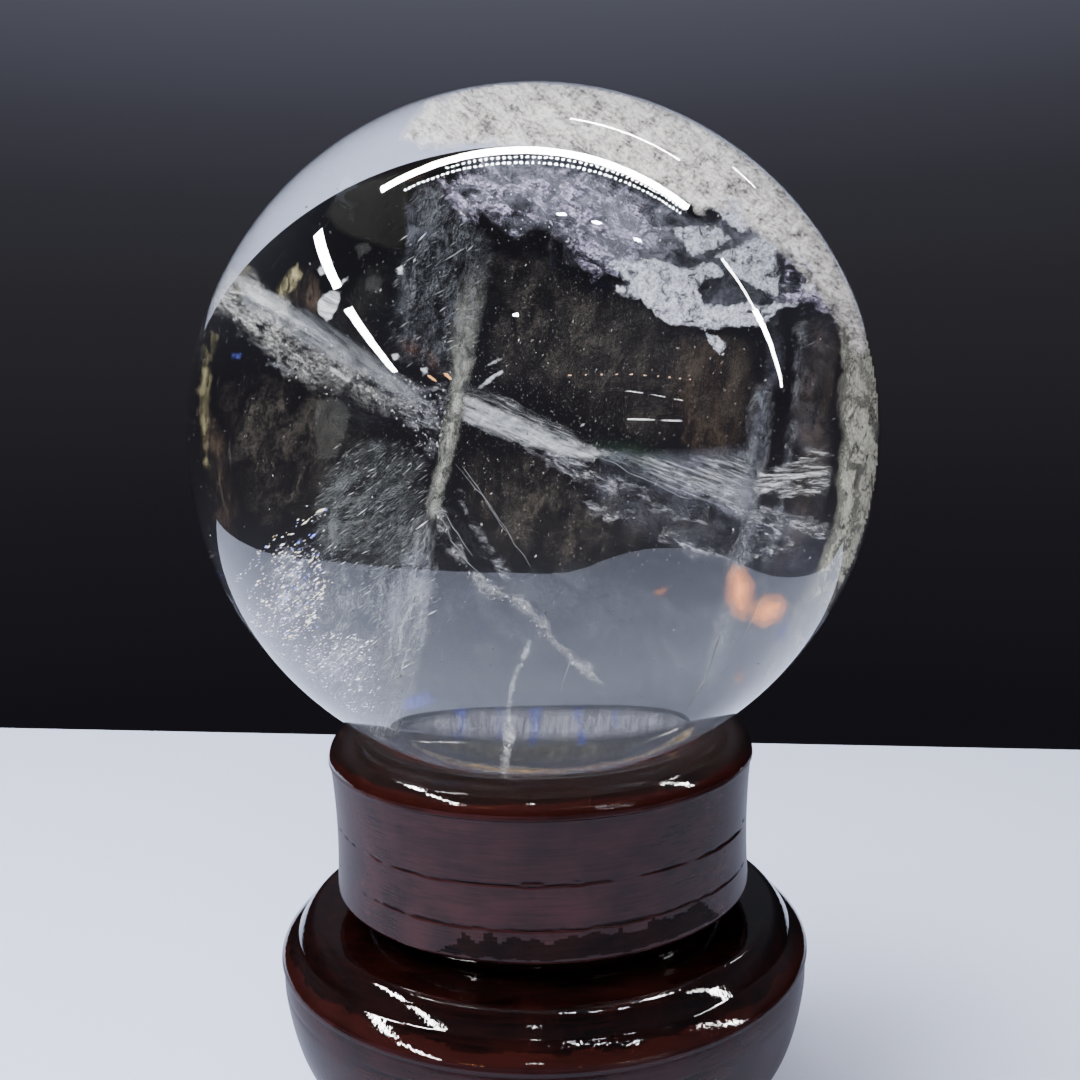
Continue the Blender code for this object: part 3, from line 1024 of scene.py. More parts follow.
    def add_lamp(self, name, spot, target, size, power, colour, mirrored=False):
        """A rectangular lamp, which either lights the scene or shows only in what is polished."""
        data = bpy.data.lights.new(name, "AREA")
        data.shape = "RECTANGLE"
        data.size, data.size_y = size
        data.energy = power
        data.color = colour
        lamp = bpy.data.objects.new(name, data)
        bpy.context.scene.collection.objects.link(lamp)
        lamp.location = spot
        lamp.rotation_euler = (Vector(target) - Vector(spot)).to_track_quat("-Z", "Y").to_euler()
        lamp.visible_camera = False
        lamp.visible_transmission = False
        lamp.visible_glossy = mirrored
        lamp.visible_diffuse = not mirrored
        return lamp


class CRYSTAL_OT_sphere(bpy.types.Operator):
    """Adds the polished crystal sphere"""

    bl_idname = "crystal.sphere"
    bl_label = "Crystal sphere"

    def execute(self, context):
        bpy.ops.mesh.primitive_ico_sphere_add(subdivisions=6, radius=SPHERE_RADIUS)
        sphere = context.object
        sphere.name = "crystal_sphere"
        mesh = sphere.data
        points = np.empty(len(mesh.vertices) * 3, np.float32)
        mesh.vertices.foreach_get("co", points)
        points = points.reshape(-1, 3).astype(float)
        swell = SWELL_HEIGHT / SPHERE_RADIUS * lumps(points, SWELL_WIDTH, 2, 2)
        points *= 1 - SWELL_ROOM + swell[:, None]
        points += np.array(SPHERE_CENTRE)
        mesh.vertices.foreach_set("co", points.ravel().astype(np.float32))
        mesh.update()
        mesh.shade_smooth()
        sphere.data.materials.append(polished_rock_crystal())
        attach(sphere, BODY)
        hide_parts("quartz_sphere")
        return {"FINISHED"}


class CRYSTAL_OT_veils(bpy.types.Operator):
    """Adds the icy white healed cracks of the upper part and the crust along the rim"""

    bl_idname = "crystal.veils"
    bl_label = "Icy veils"

    def execute(self, context):
        upper_plate = [
            (24.3, 32.6), (25.6, 33.0), (27.1, 32.5), (28.9, 33.0), (30.8, 31.3), (31.5, 29.9),
            (31.2, 28.6), (29.9, 28.0), (28.2, 28.9), (26.9, 29.9), (25.5, 31.3)]
        middle_plate = [
            (19.7, 29.2), (22.5, 29.3), (26.2, 29.2), (27.5, 28.2), (29.4, 27.4), (27.9, 26.7),
            (26.5, 25.7), (24.8, 25.1), (23.0, 24.6), (23.5, 23.8), (22.5, 24.7), (21.3, 26.4),
            (20.2, 27.7)]
        right_plate = [
            (25.9, 24.8), (27.9, 26.0), (30.4, 26.9), (32.5, 27.9), (34.1, 28.2), (35.0, 26.6),
            (35.2, 24.0), (35.5, 21.5), (35.2, 19.0), (33.2, 19.4), (31.1, 20.3), (29.4, 21.4),
            (27.9, 23.1)]
        lower_plate = [
            (10.4, 24.0), (12.4, 24.7), (14.4, 24.0), (17.4, 24.8), (19.3, 24.0), (21.3, 23.3),
            (23.3, 23.7), (25.8, 24.1), (27.1, 23.1), (27.8, 22.0), (26.2, 21.7), (24.6, 21.3),
            (23.9, 20.0), (24.6, 18.4), (26.5, 17.8), (28.9, 18.0), (30.8, 18.5), (32.5, 17.7),
            (35.1, 18.1), (37.4, 18.5), (38.7, 18.1), (37.1, 17.5), (35.4, 17.1), (34.2, 15.8),
            (33.2, 14.7), (30.4, 14.4), (27.5, 14.5), (24.6, 14.1), (22.5, 14.5), (19.9, 14.9),
            (17.6, 15.8), (16.4, 17.4), (15.4, 18.7), (13.3, 19.1), (11.3, 19.5), (11.4, 20.7),
            (13.3, 21.0), (12.7, 22.1), (11.0, 22.6)]
        tongue = [(24.3, 14.1), (26.5, 13.5), (27.8, 11.9), (27.3, 10.6), (26.2, 10.9), (25.1, 12.2)]
        chip = [(38.3, 20.8), (39.4, 21.5), (40.7, 20.8), (40.4, 19.5), (39.1, 19.0), (38.3, 19.7)]
        plates = [upper_plate, middle_plate, right_plate, lower_plate, tongue, chip]
        make_sheet("veil_bright", plates, slope(0.30, -0.03, 0.05), "icy_crack_plate", seed=2, step=0.16,
                   ragged=0.4, lump=1.0, fade=0.6, relief=0.3)
        veil = [
            (-14.0, 36.3), (-10.6, 37.2), (-6.2, 37.9), (-1.9, 38.5), (2.4, 38.1), (6.7, 37.1),
            (11.0, 35.9), (15.3, 33.7), (18.7, 31.3), (19.5, 28.9), (20.2, 26.9), (19.3, 24.0),
            (16.7, 23.4), (14.9, 20.1), (12.7, 20.5), (11.3, 22.0), (9.5, 22.6), (8.1, 21.8), (6.7, 23.8),
            (5.2, 24.4), (3.8, 26.4), (2.2, 28.4), (0.6, 29.2), (-0.8, 28.3), (-1.5, 27.0), (-3.4, 27.9),
            (-5.4, 29.3), (-6.5, 30.4), (-7.7, 30.9), (-8.4, 29.7), (-10.0, 29.3), (-11.1, 30.3),
            (-12.0, 32.0), (-13.0, 33.6)]
        bridge = [
            (31.8, 28.9), (34.2, 27.4), (36.8, 26.7), (39.4, 24.0), (41.7, 20.8), (43.7, 17.4),
            (42.9, 15.4), (40.4, 15.9), (38.3, 16.8), (36.5, 15.9), (35.2, 18.5), (35.5, 21.4),
            (35.0, 26.4)]
        make_sheet("veil_upper", [veil, bridge], slope(0.24, 0.02, 0.07), "torn_ice_veil", seed=5,
                   step=0.2, ragged=1.5, lump=1.3, fade=2.2, relief=0.5)
        behind = [
            (-13.4, 38.6), (-4.8, 40.6), (3.8, 40.1), (12.4, 36.9), (19.6, 33.5), (22.5, 30.7),
            (30.4, 32.9), (36.8, 27.9), (38.3, 18.5), (34.0, 14.9), (22.5, 15.4), (15.3, 19.3),
            (10.3, 22.8), (3.8, 28.6), (-4.8, 34.3)]
        make_sheet("veil_haze", [veil, behind], slope(0.34, -0.02, 0.05), "thin_haze", seed=6, step=0.35,
                   ragged=1.2, lump=3.0, fade=2.5, smooth=True, film=0.65)
        rim = [
            (-19.7, 41.2), (-18.6, 44.1), (-16.3, 47.0), (-10.7, 49.5), (-0.1, 51.3), (15.3, 49.5),
            (32.5, 40.1), (40.4, 32.9), (45.4, 24.3), (48.9, 14.2), (47.7, 9.1), (45.4, 11.4),
            (43.7, 15.4), (41.7, 18.5), (39.7, 20.8), (37.7, 24.0), (35.7, 25.1), (33.4, 26.3),
            (31.1, 27.7), (29.4, 29.7), (28.5, 31.5), (26.2, 30.9), (23.9, 30.6), (21.6, 32.0),
            (18.2, 34.3), (14.1, 36.0), (9.5, 37.8), (3.8, 39.2), (-1.9, 40.1), (-7.7, 40.1), (-13.4, 39.8)]
        make_sheet("veil_rim", [rim], slope(0.10), "mottled_crust", seed=13, step=0.28, ragged=0.7,
                   relief=0.2)
        right_rim = [
            (40.0, 34.3), (45.4, 26.4), (49.7, 14.2), (51.6, 4.9), (50.9, -5.9), (49.2, -14.5),
            (47.2, -20.9), (44.7, -24.5), (41.4, -25.4), (39.4, -23.1), (40.8, -18.8), (42.3, -14.5),
            (42.9, -10.2), (43.3, -5.2), (43.6, -0.1), (43.7, 7.0), (44.0, 12.5), (42.6, 16.4),
            (40.8, 20.0), (39.1, 24.6)]
        make_sheet("veil_rim_right", [right_rim], slope(0.12), "thinned_crust", seed=14, step=0.28,
                   ragged=0.7, relief=0.2)
        low_rim = [
            (46.3, -15.9), (47.7, -20.2), (44.3, -27.1), (40.4, -32.4), (36.1, -37.5), (32.2, -39.8),
            (29.9, -37.7), (32.5, -34.0), (34.8, -30.3), (36.5, -26.3), (38.3, -22.4), (40.4, -18.1),
            (43.3, -14.5)]
        make_sheet("veil_rim_low", [low_rim], slope(0.24), "thinned_crust", seed=15, ragged=0.9, lump=2.5,
                   fade=3.0, relief=0.2, film=0.7)
        # Painted glints: white grains that stand in for the sparkle of the veils
        sparks = bright_grains("crack_glints", ((0.0, "B8BCC4"), (1.0, "FFFFFF")), 0.12)
        spots = [scatter(shape, 26, 60 + i) for i, shape in enumerate(plates)]
        spots += [scatter(veil, 110, 70), scatter(rim, 120, 71)]
        make_grains("veil_glints", np.concatenate(spots), slope(0.23, 0.0, 0.04), 0.04, 0.12, sparks, 72)
        return {"FINISHED"}


class CRYSTAL_OT_cracks(bpy.types.Operator):
    """Adds the long crack that crosses the sphere, and the finer cracks below it"""

    bl_idname = "crystal.cracks"
    bl_label = "Cracks"

    def execute(self, context):
        spots = [*self.add_band(), *self.add_stripe(), *self.add_lower_cracks()]
        white = bright_grains("crack_splinters", ((0.0, "777B80"), (0.7, "B4B8BC"), (1.0, "F2F5F8")))
        make_grains("crack_chips", np.concatenate(spots), slope(0.41, 0.06), 0.04, 0.12, white, 34)
        return {"FINISHED"}

    def add_band(self):
        """The left half of the long crack. Gives places for splinters, as the next two do."""
        wedge = [
            (-43.3, 23.1), (-39.0, 20.8), (-36.7, 19.7), (-34.7, 18.1), (-31.8, 17.0), (-28.9, 15.2),
            (-26.6, 13.4), (-24.0, 11.8), (-21.7, 9.9), (-19.2, 8.2), (-16.3, 6.5), (-14.0, 4.5),
            (-16.3, 3.6), (-19.5, 4.8), (-22.3, 6.2), (-25.2, 7.8), (-27.8, 8.9), (-30.4, 10.2),
            (-33.2, 11.8), (-35.8, 13.4), (-38.4, 14.9), (-40.7, 16.5), (-42.4, 18.5)]
        make_sheet("crack_band_edge", [wedge], slope(0.40, 0.06), "glassy_crack_face", seed=22, step=0.25,
                   ragged=0.25, lump=2.5, fade=3.0, relief=0.05, smooth=True)
        start = [
            (-46.7, 21.1), (-45.7, 23.7), (-43.3, 24.6), (-40.4, 23.4), (-38.1, 21.1), (-35.0, 19.1),
            (-32.8, 16.8), (-32.7, 14.2), (-34.7, 12.5), (-37.8, 12.8), (-40.4, 13.9), (-42.7, 15.1),
            (-44.7, 15.7), (-46.7, 15.9), (-47.9, 17.8)]
        make_sheet("crack_band_start", [start], slope(0.36, 0.06), "dusty_crack_face", seed=37, step=0.25,
                   ragged=0.6, lump=2.5, fade=2.5, relief=0.05, smooth=True)
        band = [
            (-44.7, 20.0), (-40.7, 18.5), (-36.4, 16.4), (-32.1, 14.2), (-27.8, 12.1), (-23.5, 9.6),
            (-19.2, 7.3), (-15.7, 5.2), (-13.1, 3.0), (-14.0, 0.2), (-17.4, 0.4), (-20.6, 1.6),
            (-23.5, 2.5), (-26.3, 3.3), (-29.2, 4.5), (-32.1, 5.9), (-34.7, 7.0), (-37.1, 8.5),
            (-39.0, 10.5), (-41.3, 12.5), (-43.6, 14.2), (-45.3, 16.4)]
        make_sheet("crack_band", [band], slope(0.42, 0.06), "dusty_crack_face", seed=21, step=0.22,
                   ragged=1.0, lump=1.8, fade=2.6, relief=0.3)
        low_edge = [
            (-39.5, 12.8), (-37.5, 11.6), (-35.0, 9.6), (-32.1, 8.2), (-33.5, 6.8), (-35.8, 7.9),
            (-37.8, 9.3), (-39.3, 11.1)]
        tangle = [
            (-22.3, 8.2), (-19.9, 7.9), (-17.4, 7.2), (-14.9, 6.3), (-12.3, 7.0), (-11.6, 4.8),
            (-12.4, 1.9), (-13.3, -1.9), (-14.7, -4.1), (-16.3, -1.9), (-18.6, 0.4), (-20.7, 2.6),
            (-22.9, 4.2), (-23.9, 5.9)]
        make_sheet("crack_band_foot", [low_edge, tangle], slope(0.41, 0.06), "feathered_crack", seed=19,
                   step=0.18, ragged=0.9, lump=1.4, relief=0.4, film=0.8)
        return [scatter(band, 130, 28), scatter(tangle, 130, 35)]

    def add_stripe(self):
        """The bright stripe in the middle, its fan to the right and the small faces round it, some painted
        bright as glints
        """
        core = [
            (-10.3, 4.8), (-7.7, 4.2), (-4.8, 3.0), (-1.9, 1.9), (1.7, 0.4), (5.2, -1.0), (8.8, -2.4),
            (11.3, -3.7), (8.4, -4.7), (5.2, -4.3), (1.7, -3.4), (-1.9, -2.4), (-4.8, -1.3), (-7.7, -0.1),
            (-10.3, 1.0)]
        make_sheet("crack_stripe", [core], slope(0.46, 0.03), "bright_crack_face", seed=23, step=0.15,
                   ragged=0.2, lump=1.2, fade=0.9)
        upper_side = [
            (-10.3, 6.8), (-6.2, 5.6), (-3.4, 4.5), (-0.5, 3.0), (2.4, 1.6), (5.2, 0.2), (8.1, -1.3),
            (10.4, -3.0), (8.1, -3.3), (3.8, -2.4), (-0.5, -1.0), (-4.8, 0.7), (-7.7, 2.2), (-10.3, 3.0)]
        fan = [
            (9.3, -2.7), (15.3, -3.6), (21.7, -3.7), (27.5, -3.3), (31.4, -2.3), (31.7, -5.9),
            (31.4, -10.2), (29.9, -13.3), (26.1, -11.8), (22.5, -10.2), (18.2, -8.2), (13.9, -6.0),
            (9.5, -4.3)]
        make_sheet("crack_stripe_side", [upper_side, fan], slope(0.46, 0.03), "streaked_crack_face",
                   seed=24, step=0.25, ragged=0.4, lump=1.6, fade=1.5, relief=0.15)
        soft_fan = [
            (8.1, -2.6), (15.3, -2.7), (22.5, -2.7), (29.6, -1.9), (32.5, -1.6), (31.9, -6.6),
            (31.4, -11.6), (28.9, -13.6), (23.9, -11.3), (18.2, -8.7), (13.9, -6.4), (9.5, -4.9)]
        make_sheet("crack_fan_haze", [soft_fan], slope(0.47, 0.03), "thin_haze", seed=38, relief=0.05,
                   smooth=True)
        flakes = [
            [(5.2, -9.9), (8.1, -10.2), (10.4, -10.6), (11.3, -11.9), (13.1, -10.9), (15.0, -11.9),
             (13.6, -12.9), (11.0, -13.5), (8.4, -13.2), (6.5, -11.3)],
            [(10.6, -6.4), (12.1, -7.0), (12.8, -9.2), (11.3, -9.5), (10.0, -7.9)],
            [(-0.9, -5.9), (0.4, -6.0), (0.5, -7.2), (-0.5, -7.5)],
            [(1.9, -8.3), (3.2, -8.5), (3.7, -9.6), (2.2, -9.7)],
            [(15.3, -10.8), (18.4, -10.3), (20.9, -11.6), (23.2, -12.8), (25.8, -13.3), (23.9, -14.1),
             (21.0, -13.5), (18.3, -12.9), (16.6, -12.5)],
            [(17.4, -15.1), (19.9, -13.8), (22.0, -14.5), (21.2, -15.6), (22.9, -16.2), (25.8, -17.1),
             (29.1, -17.9), (31.5, -19.2), (28.9, -19.2), (25.6, -18.4), (22.5, -18.4), (20.5, -16.9),
             (18.0, -16.6)],
            [(20.2, -6.2), (23.9, -6.9), (27.3, -8.0), (30.1, -7.0), (31.4, -10.2), (30.1, -13.3),
             (27.5, -11.2), (24.8, -10.3), (22.3, -9.7)],
            [(-1.9, -1.9), (1.7, -3.0), (6.0, -4.1), (9.5, -5.6), (15.3, -8.2), (19.3, -9.9),
             (16.7, -10.2), (12.4, -9.0), (8.1, -8.2), (3.8, -6.4), (0.2, -4.4)]]
        make_sheet("crack_feathers", flakes, slope(0.38, 0.02), "feathered_crack", seed=25, step=0.16,
                   ragged=0.7, lump=1.3, fade=0.8, relief=0.3)
        lace = [
            [(30.4, -10.8), (33.2, -10.6), (36.8, -11.5), (40.4, -12.9), (44.0, -14.3), (44.0, -15.9),
             (40.0, -16.2), (36.8, -15.5), (34.0, -16.2), (30.4, -17.1)],
            [(30.4, -17.1), (34.0, -16.9), (37.1, -16.1), (38.5, -16.8), (35.7, -17.8), (32.8, -18.9),
             (30.2, -18.4)]]
        make_sheet("crack_lace", lace, slope(0.36), "feathered_crack", seed=39, step=0.16, ragged=0.8,
                   lump=1.4, fade=1.0, relief=0.2)
        bars = [
            [(32.1, -5.9), (34.7, -5.0), (38.3, -4.6), (42.9, -4.9), (43.1, -7.0), (42.6, -9.3),
             (38.3, -9.9), (34.0, -9.9), (31.4, -9.0)],
            [(37.1, -3.6), (39.0, -2.6), (42.0, -2.6), (43.1, -3.7), (41.4, -4.7), (38.3, -4.7)]]
        make_sheet("crack_bars", bars, slope(0.30), "level_streaks", seed=40, step=0.14, lump=1.2,
                   fade=0.9, relief=0.05)
        facets = [
            [(-8.3, 5.9), (-7.1, 7.0), (-5.7, 8.1), (-4.4, 8.6), (-4.2, 8.1), (-5.4, 7.2), (-6.7, 6.2),
             (-7.8, 5.5)],
            [(-6.8, 9.3), (-5.4, 10.1), (-4.2, 10.4), (-4.4, 9.9), (-5.7, 9.3), (-6.7, 8.9)],
            [(-29.9, 9.6), (-28.4, 8.8), (-26.9, 7.8), (-25.9, 6.9), (-26.5, 6.5), (-27.8, 7.2),
             (-29.2, 8.2)],
            [(-31.2, 18.2), (-30.4, 19.4), (-28.9, 20.1), (-27.6, 19.7), (-27.9, 17.7), (-28.8, 15.8),
             (-29.8, 15.2), (-30.9, 16.5)],
            [(-30.6, 24.0), (-29.5, 24.3), (-29.6, 22.6), (-30.6, 21.7), (-31.1, 22.8)],
            [(-19.7, 23.1), (-18.7, 23.8), (-18.6, 22.1), (-19.6, 22.0)],
            [(-27.8, 21.4), (-26.6, 22.1), (-26.5, 21.5), (-27.6, 20.4)],
            [(-20.5, 10.8), (-19.3, 10.9), (-19.2, 9.9), (-20.2, 9.6)],
            [(-16.4, 8.8), (-15.3, 9.1), (-14.9, 7.9), (-16.0, 7.5)]]
        # Painted glints: small crack faces painted bright where they would mirror the lamps
        make_sheet("crack_facets_painted_glints", facets, slope(0.30), "bright_crack_face", seed=41, step=0.12,
                   ragged=0.12, lump=0.8, fade=0.4, relief=0.03, film=0.75)
        return [scatter(flakes[6], 40, 29)]

    def add_lower_cracks(self):
        """The curved crack that runs down from the long one, and the upright one under it."""
        curved = [
            (-13.9, -11.9), (-12.8, -11.3), (-11.7, -13.6), (-10.3, -16.8), (-8.5, -19.4), (-6.2, -21.7),
            (-3.7, -23.1), (-1.7, -24.2), (0.1, -26.3), (-1.4, -26.3), (-3.7, -25.1), (-6.2, -24.0),
            (-8.5, -22.2), (-10.6, -19.7), (-12.3, -16.5), (-13.4, -14.2)]
        strand = [
            (-11.3, -8.2), (-9.7, -10.2), (-8.3, -13.0), (-6.8, -15.9), (-5.1, -18.2), (-3.1, -20.8),
            (-1.4, -23.4), (-2.8, -22.8), (-4.8, -20.8), (-6.8, -18.2), (-8.5, -15.3), (-10.3, -11.9)]
        feather = [
            (-2.7, -24.0), (-0.5, -24.8), (1.7, -27.1), (3.8, -30.3), (6.0, -32.0), (8.4, -34.3),
            (10.1, -36.6), (8.1, -36.0), (5.5, -34.3), (3.2, -32.0), (0.9, -29.4), (-1.1, -26.8)]
        make_sheet("crack_lower", [curved, strand, feather], slope(0.35), "feathered_crack", seed=26,
                   step=0.16, ragged=0.8, lump=1.4, fade=1.0, relief=0.3, film=0.8)
        make_sheet("crack_lower_haze", [curved, feather], slope(0.36), "dusty_crack_face", seed=27,
                   ragged=0.8, fade=0.8, relief=0.05, smooth=True)
        upright = [
            (-0.8, -30.0), (0.1, -30.3), (-1.4, -33.7), (-2.4, -36.0), (-3.1, -38.9), (-2.9, -42.0),
            (-2.5, -43.9), (-3.2, -46.4), (-3.9, -49.9), (-5.2, -50.1), (-4.8, -47.2), (-4.5, -44.3),
            (-4.1, -41.8), (-3.9, -38.9), (-3.2, -36.0), (-2.1, -33.1)]
        make_sheet("crack_upright", [upright], slope(0.30), "bright_crack_face", seed=36, step=0.14,
                   lump=1.0, fade=0.7, film=0.5)
        foot = [
            (-4.4, -42.6), (-2.8, -42.6), (-2.2, -44.3), (-3.1, -46.4), (-3.8, -49.9), (-5.1, -50.1),
            (-4.7, -47.2), (-4.4, -44.6)]
        make_sheet("crack_upright_foot", [foot], slope(0.29), "bright_crack_face", seed=42, step=0.14,
                   lump=0.8, fade=0.7, relief=0.05, film=0.6)
        lines = [
            [(-11.1, -5.0), (-8.8, -7.9), (-6.5, -10.8), (-4.2, -13.9), (-2.2, -17.1), (-0.5, -19.7)],
            [(-10.3, -5.3), (-8.0, -8.5), (-6.0, -11.3)],
            [(-7.1, -10.2), (-5.4, -12.8), (-3.9, -14.8)],
            [(-13.4, -12.2), (-11.7, -15.9), (-9.4, -19.1), (-6.8, -21.7)],
            [(-12.6, -11.9), (-10.8, -15.3), (-8.8, -18.2)],
            [(5.5, -32.4), (4.7, -35.2), (3.9, -37.7)],
            [(10.0, -4.1), (13.9, -6.2), (18.2, -8.2), (22.5, -10.2)]]
        thread = bright_grains("crack_edge_line", ((0.0, "505458"), (1.0, "84888C")))
        make_threads("crack_threads", lines, slope(0.33), 0.07, thread, 27, wander=0.18)
        return [scatter(curved, 40, 30), scatter(upright, 40, 31), scatter(feather, 40, 32)]


class CRYSTAL_OT_layers(bpy.types.Operator):
    """Adds the grey growth layers, which stand upright in the crystal, the stained films, and the painted
    caustics, gleams and view of the seat
    """

    bl_idname = "crystal.layers"
    bl_label = "Growth layers"

    def execute(self, context):
        dark_pits = bright_grains("dark_pits", ((0.0, "15170F"), (1.0, "3C3E30")), 0.5)
        curtain = self.add_upper_left()
        self.add_lower_left(curtain, dark_pits)
        beyond = self.add_right(dark_pits)
        self.add_stains(beyond)
        self.add_dust()
        self.add_foot()
        return {"FINISHED"}

    def add_upper_left(self):
        """The phantom left of the middle, and the curtain, column and flat faces beside it, with a pane of
        painted shade
        """
        band = [
            (-10.1, 24.0), (-9.1, 26.0), (-7.4, 26.6), (-5.7, 25.7), (-6.0, 22.1), (-6.5, 18.5),
            (-7.1, 15.9), (-7.5, 13.5), (-8.0, 10.6), (-8.4, 7.8), (-9.0, 5.3), (-9.5, 2.5), (-10.4, -0.4),
            (-11.1, -3.3), (-11.8, -7.0), (-12.4, -10.2), (-13.3, -12.3), (-14.6, -13.5), (-15.6, -11.8),
            (-15.3, -9.0), (-14.7, -6.6), (-14.0, -3.0), (-13.4, 0.6), (-12.8, 4.2), (-12.4, 7.8),
            (-12.6, 11.4), (-12.0, 14.9), (-11.7, 18.5), (-11.1, 21.4)]
        make_sheet("layer_phantom", [band], slope(0.40, 0.0, 0.01), "grey_growth_layer", seed=41,
                   step=0.22, ragged=0.35, lump=1.8, fade=1.7, relief=0.03, smooth=True,
                   film=slope(0.96, 0.0, -0.40))
        curtain = [
            (-17.2, 36.3), (-14.0, 36.6), (-11.7, 34.6), (-10.3, 32.2), (-8.0, 29.7), (-6.0, 27.9),
            (-5.4, 25.7), (-6.2, 20.0), (-7.2, 14.2), (-8.3, 8.8), (-11.1, 7.0), (-16.3, 8.2),
            (-19.2, 9.6), (-20.9, 11.4), (-20.6, 14.9), (-20.0, 18.5), (-19.7, 22.8), (-18.9, 25.7),
            (-18.6, 28.9), (-18.0, 32.9)]
        make_sheet("layer_curtain", [curtain], slope(0.50, 0.05), "speckled_growth_layer", seed=42,
                   ragged=0.8, fade=2.5, relief=0.2, film=0.6)
        column = [
            (-18.9, 32.2), (-17.4, 32.9), (-16.3, 30.7), (-16.9, 26.4), (-17.4, 22.1), (-18.3, 18.5),
            (-19.2, 14.9), (-19.7, 11.4), (-20.9, 11.1), (-20.6, 14.9), (-20.0, 18.8), (-19.6, 22.8),
            (-18.7, 26.0), (-18.4, 29.3)]
        slab = [(-12.1, 20.5), (-10.4, 20.8), (-10.1, 17.1), (-10.8, 14.8), (-12.6, 15.4), (-12.7, 18.5)]
        make_sheet("layer_column", [column, slab], slope(0.49, 0.05), "thin_haze", seed=57, step=0.25,
                   ragged=0.4, lump=1.5, fade=1.4, relief=0.05, smooth=True, film=0.5)
        window = [
            (-31.5, 4.2), (-29.2, 4.9), (-27.1, 4.2), (-25.9, 2.5), (-26.9, -1.6), (-28.1, -4.3),
            (-30.9, -4.6), (-31.8, -0.1)]
        facets = [
            [(-28.5, 32.2), (-23.8, 33.0), (-23.3, 29.7), (-24.6, 27.1), (-27.1, 28.3), (-29.5, 31.2)],
            [(-26.1, 26.7), (-23.5, 27.1), (-23.0, 25.7), (-25.2, 24.0)],
            [(-24.6, 21.4), (-22.8, 22.7), (-21.2, 21.4), (-21.9, 19.1), (-24.2, 19.8)]]
        make_sheet("layer_facets", [window, *facets], slope(0.5, 0.0, 0.05), "flat_crack_face", seed=46,
                   step=0.4, ragged=0.05, lump=4.0, fade=0.4, relief=0.0, smooth=True)
        # Painted shade: a nearly black pane that darkens the view through the sphere here
        pane = [
            (-30.4, 30.9), (-29.2, 32.9), (-27.1, 34.6), (-23.2, 36.3), (-19.5, 37.5), (-17.4, 36.3),
            (-17.2, 32.9), (-17.6, 29.3), (-18.0, 25.7), (-20.3, 25.4), (-23.2, 26.3), (-26.1, 27.1),
            (-28.6, 28.6)]
        make_sheet("layer_painted_shade_pane", [pane], slope(0.55), "painted_shade_face", seed=67, ragged=0.2, fade=0.8,
                   relief=0.0, smooth=True)
        return curtain

    def add_lower_left(self, curtain, dark_pits):
        """The furred and frosted zones with their fine strokes, and the standing ribs."""
        fur = [
            (-28.4, -2.1), (-22.0, -1.0), (-15.6, -2.1), (-14.9, -7.3), (-15.7, -13.0), (-15.4, -18.8),
            (-17.2, -20.9), (-20.6, -20.5), (-26.3, -19.7), (-29.5, -19.1), (-31.8, -18.2), (-31.8, -13.0),
            (-30.6, -7.3)]
        make_sheet("layer_fur", [fur], slope(0.36, 0.03), "furred_growth_layer", seed=43, ragged=1.0,
                   lump=2.5, fade=3.0, relief=0.2)
        frost = [
            (-27.2, -4.7), (-26.1, -5.9), (-26.3, -10.2), (-27.2, -14.5), (-28.1, -18.2), (-27.1, -23.1),
            (-27.8, -27.4), (-29.2, -30.3), (-31.2, -27.4), (-31.5, -21.7), (-30.9, -16.6), (-30.4, -12.3),
            (-28.9, -8.0)]
        grey_film = [
            (-30.9, -18.2), (-26.3, -19.1), (-20.6, -19.9), (-14.9, -18.8), (-13.4, -22.4), (-14.6, -27.4),
            (-16.3, -32.4), (-18.0, -37.5), (-19.2, -42.5), (-21.3, -43.9), (-24.9, -42.5), (-28.5, -38.9),
            (-32.1, -36.0), (-33.5, -31.7), (-31.8, -24.5)]
        make_sheet("layer_frost", [frost, grey_film], slope(0.37, 0.03), "speckled_growth_layer", seed=58,
                   ragged=1.0, lump=2.5, fade=3.0, relief=0.2)
        standing = [
            (-18.6, -13.0), (-15.1, -12.3), (-13.4, -15.9), (-14.0, -23.1), (-14.9, -30.3), (-16.6, -37.5),
            (-18.6, -44.9), (-23.2, -45.3), (-24.6, -41.8), (-23.2, -36.0), (-22.0, -30.3), (-20.6, -23.1),
            (-19.5, -17.4)]
        make_sheet("layer_standing", [standing], slope(0.35), "ribbed_growth_layer", seed=70, step=0.25,
                   ragged=0.7, lump=1.8, fade=1.8)
        pale_patch = [
            (-20.9, -21.7), (-19.5, -19.7), (-18.3, -23.1), (-18.6, -27.4), (-19.5, -30.7), (-21.2, -31.0),
            (-22.0, -28.8), (-21.5, -25.3)]
        veins = [
            (-18.9, -18.8), (-17.4, -16.6), (-15.7, -17.6), (-14.3, -20.2), (-14.9, -26.0), (-15.7, -31.7),
            (-16.6, -30.3), (-16.9, -24.5), (-18.0, -27.4), (-18.9, -33.1), (-19.5, -31.7), (-18.9, -26.0)]
        make_sheet("layer_pale", [pale_patch, veins], slope(0.34), "thin_haze", seed=59, step=0.22,
                   ragged=0.5, lump=1.2, fade=1.0, smooth=True)
        strokes = bright_grains("fine_strokes", ((0.0, "3A3C3C"), (0.8, "74787A"), (1.0, "D0D4D6")))
        spots = [scatter(fur, 420, 54), scatter(grey_film, 420, 55), scatter(curtain, 200, 79)]
        make_grains("layer_strokes", np.concatenate(spots), slope(0.35, 0.03), 0.3, 0.03, strokes, 56,
                    along=(1.0, 0.1, 0.62), loose=0.12, corners=3)
        pitted = [
            (-23.2, -30.3), (-20.3, -30.3), (-18.9, -33.9), (-18.4, -38.9), (-18.6, -43.9), (-21.3, -44.9),
            (-25.6, -43.2), (-29.2, -39.6), (-26.3, -37.5), (-23.8, -34.9)]
        make_grains("layer_pits", scatter(pitted, 420, 73), slope(0.3), 0.07, 0.15, dark_pits, 74)

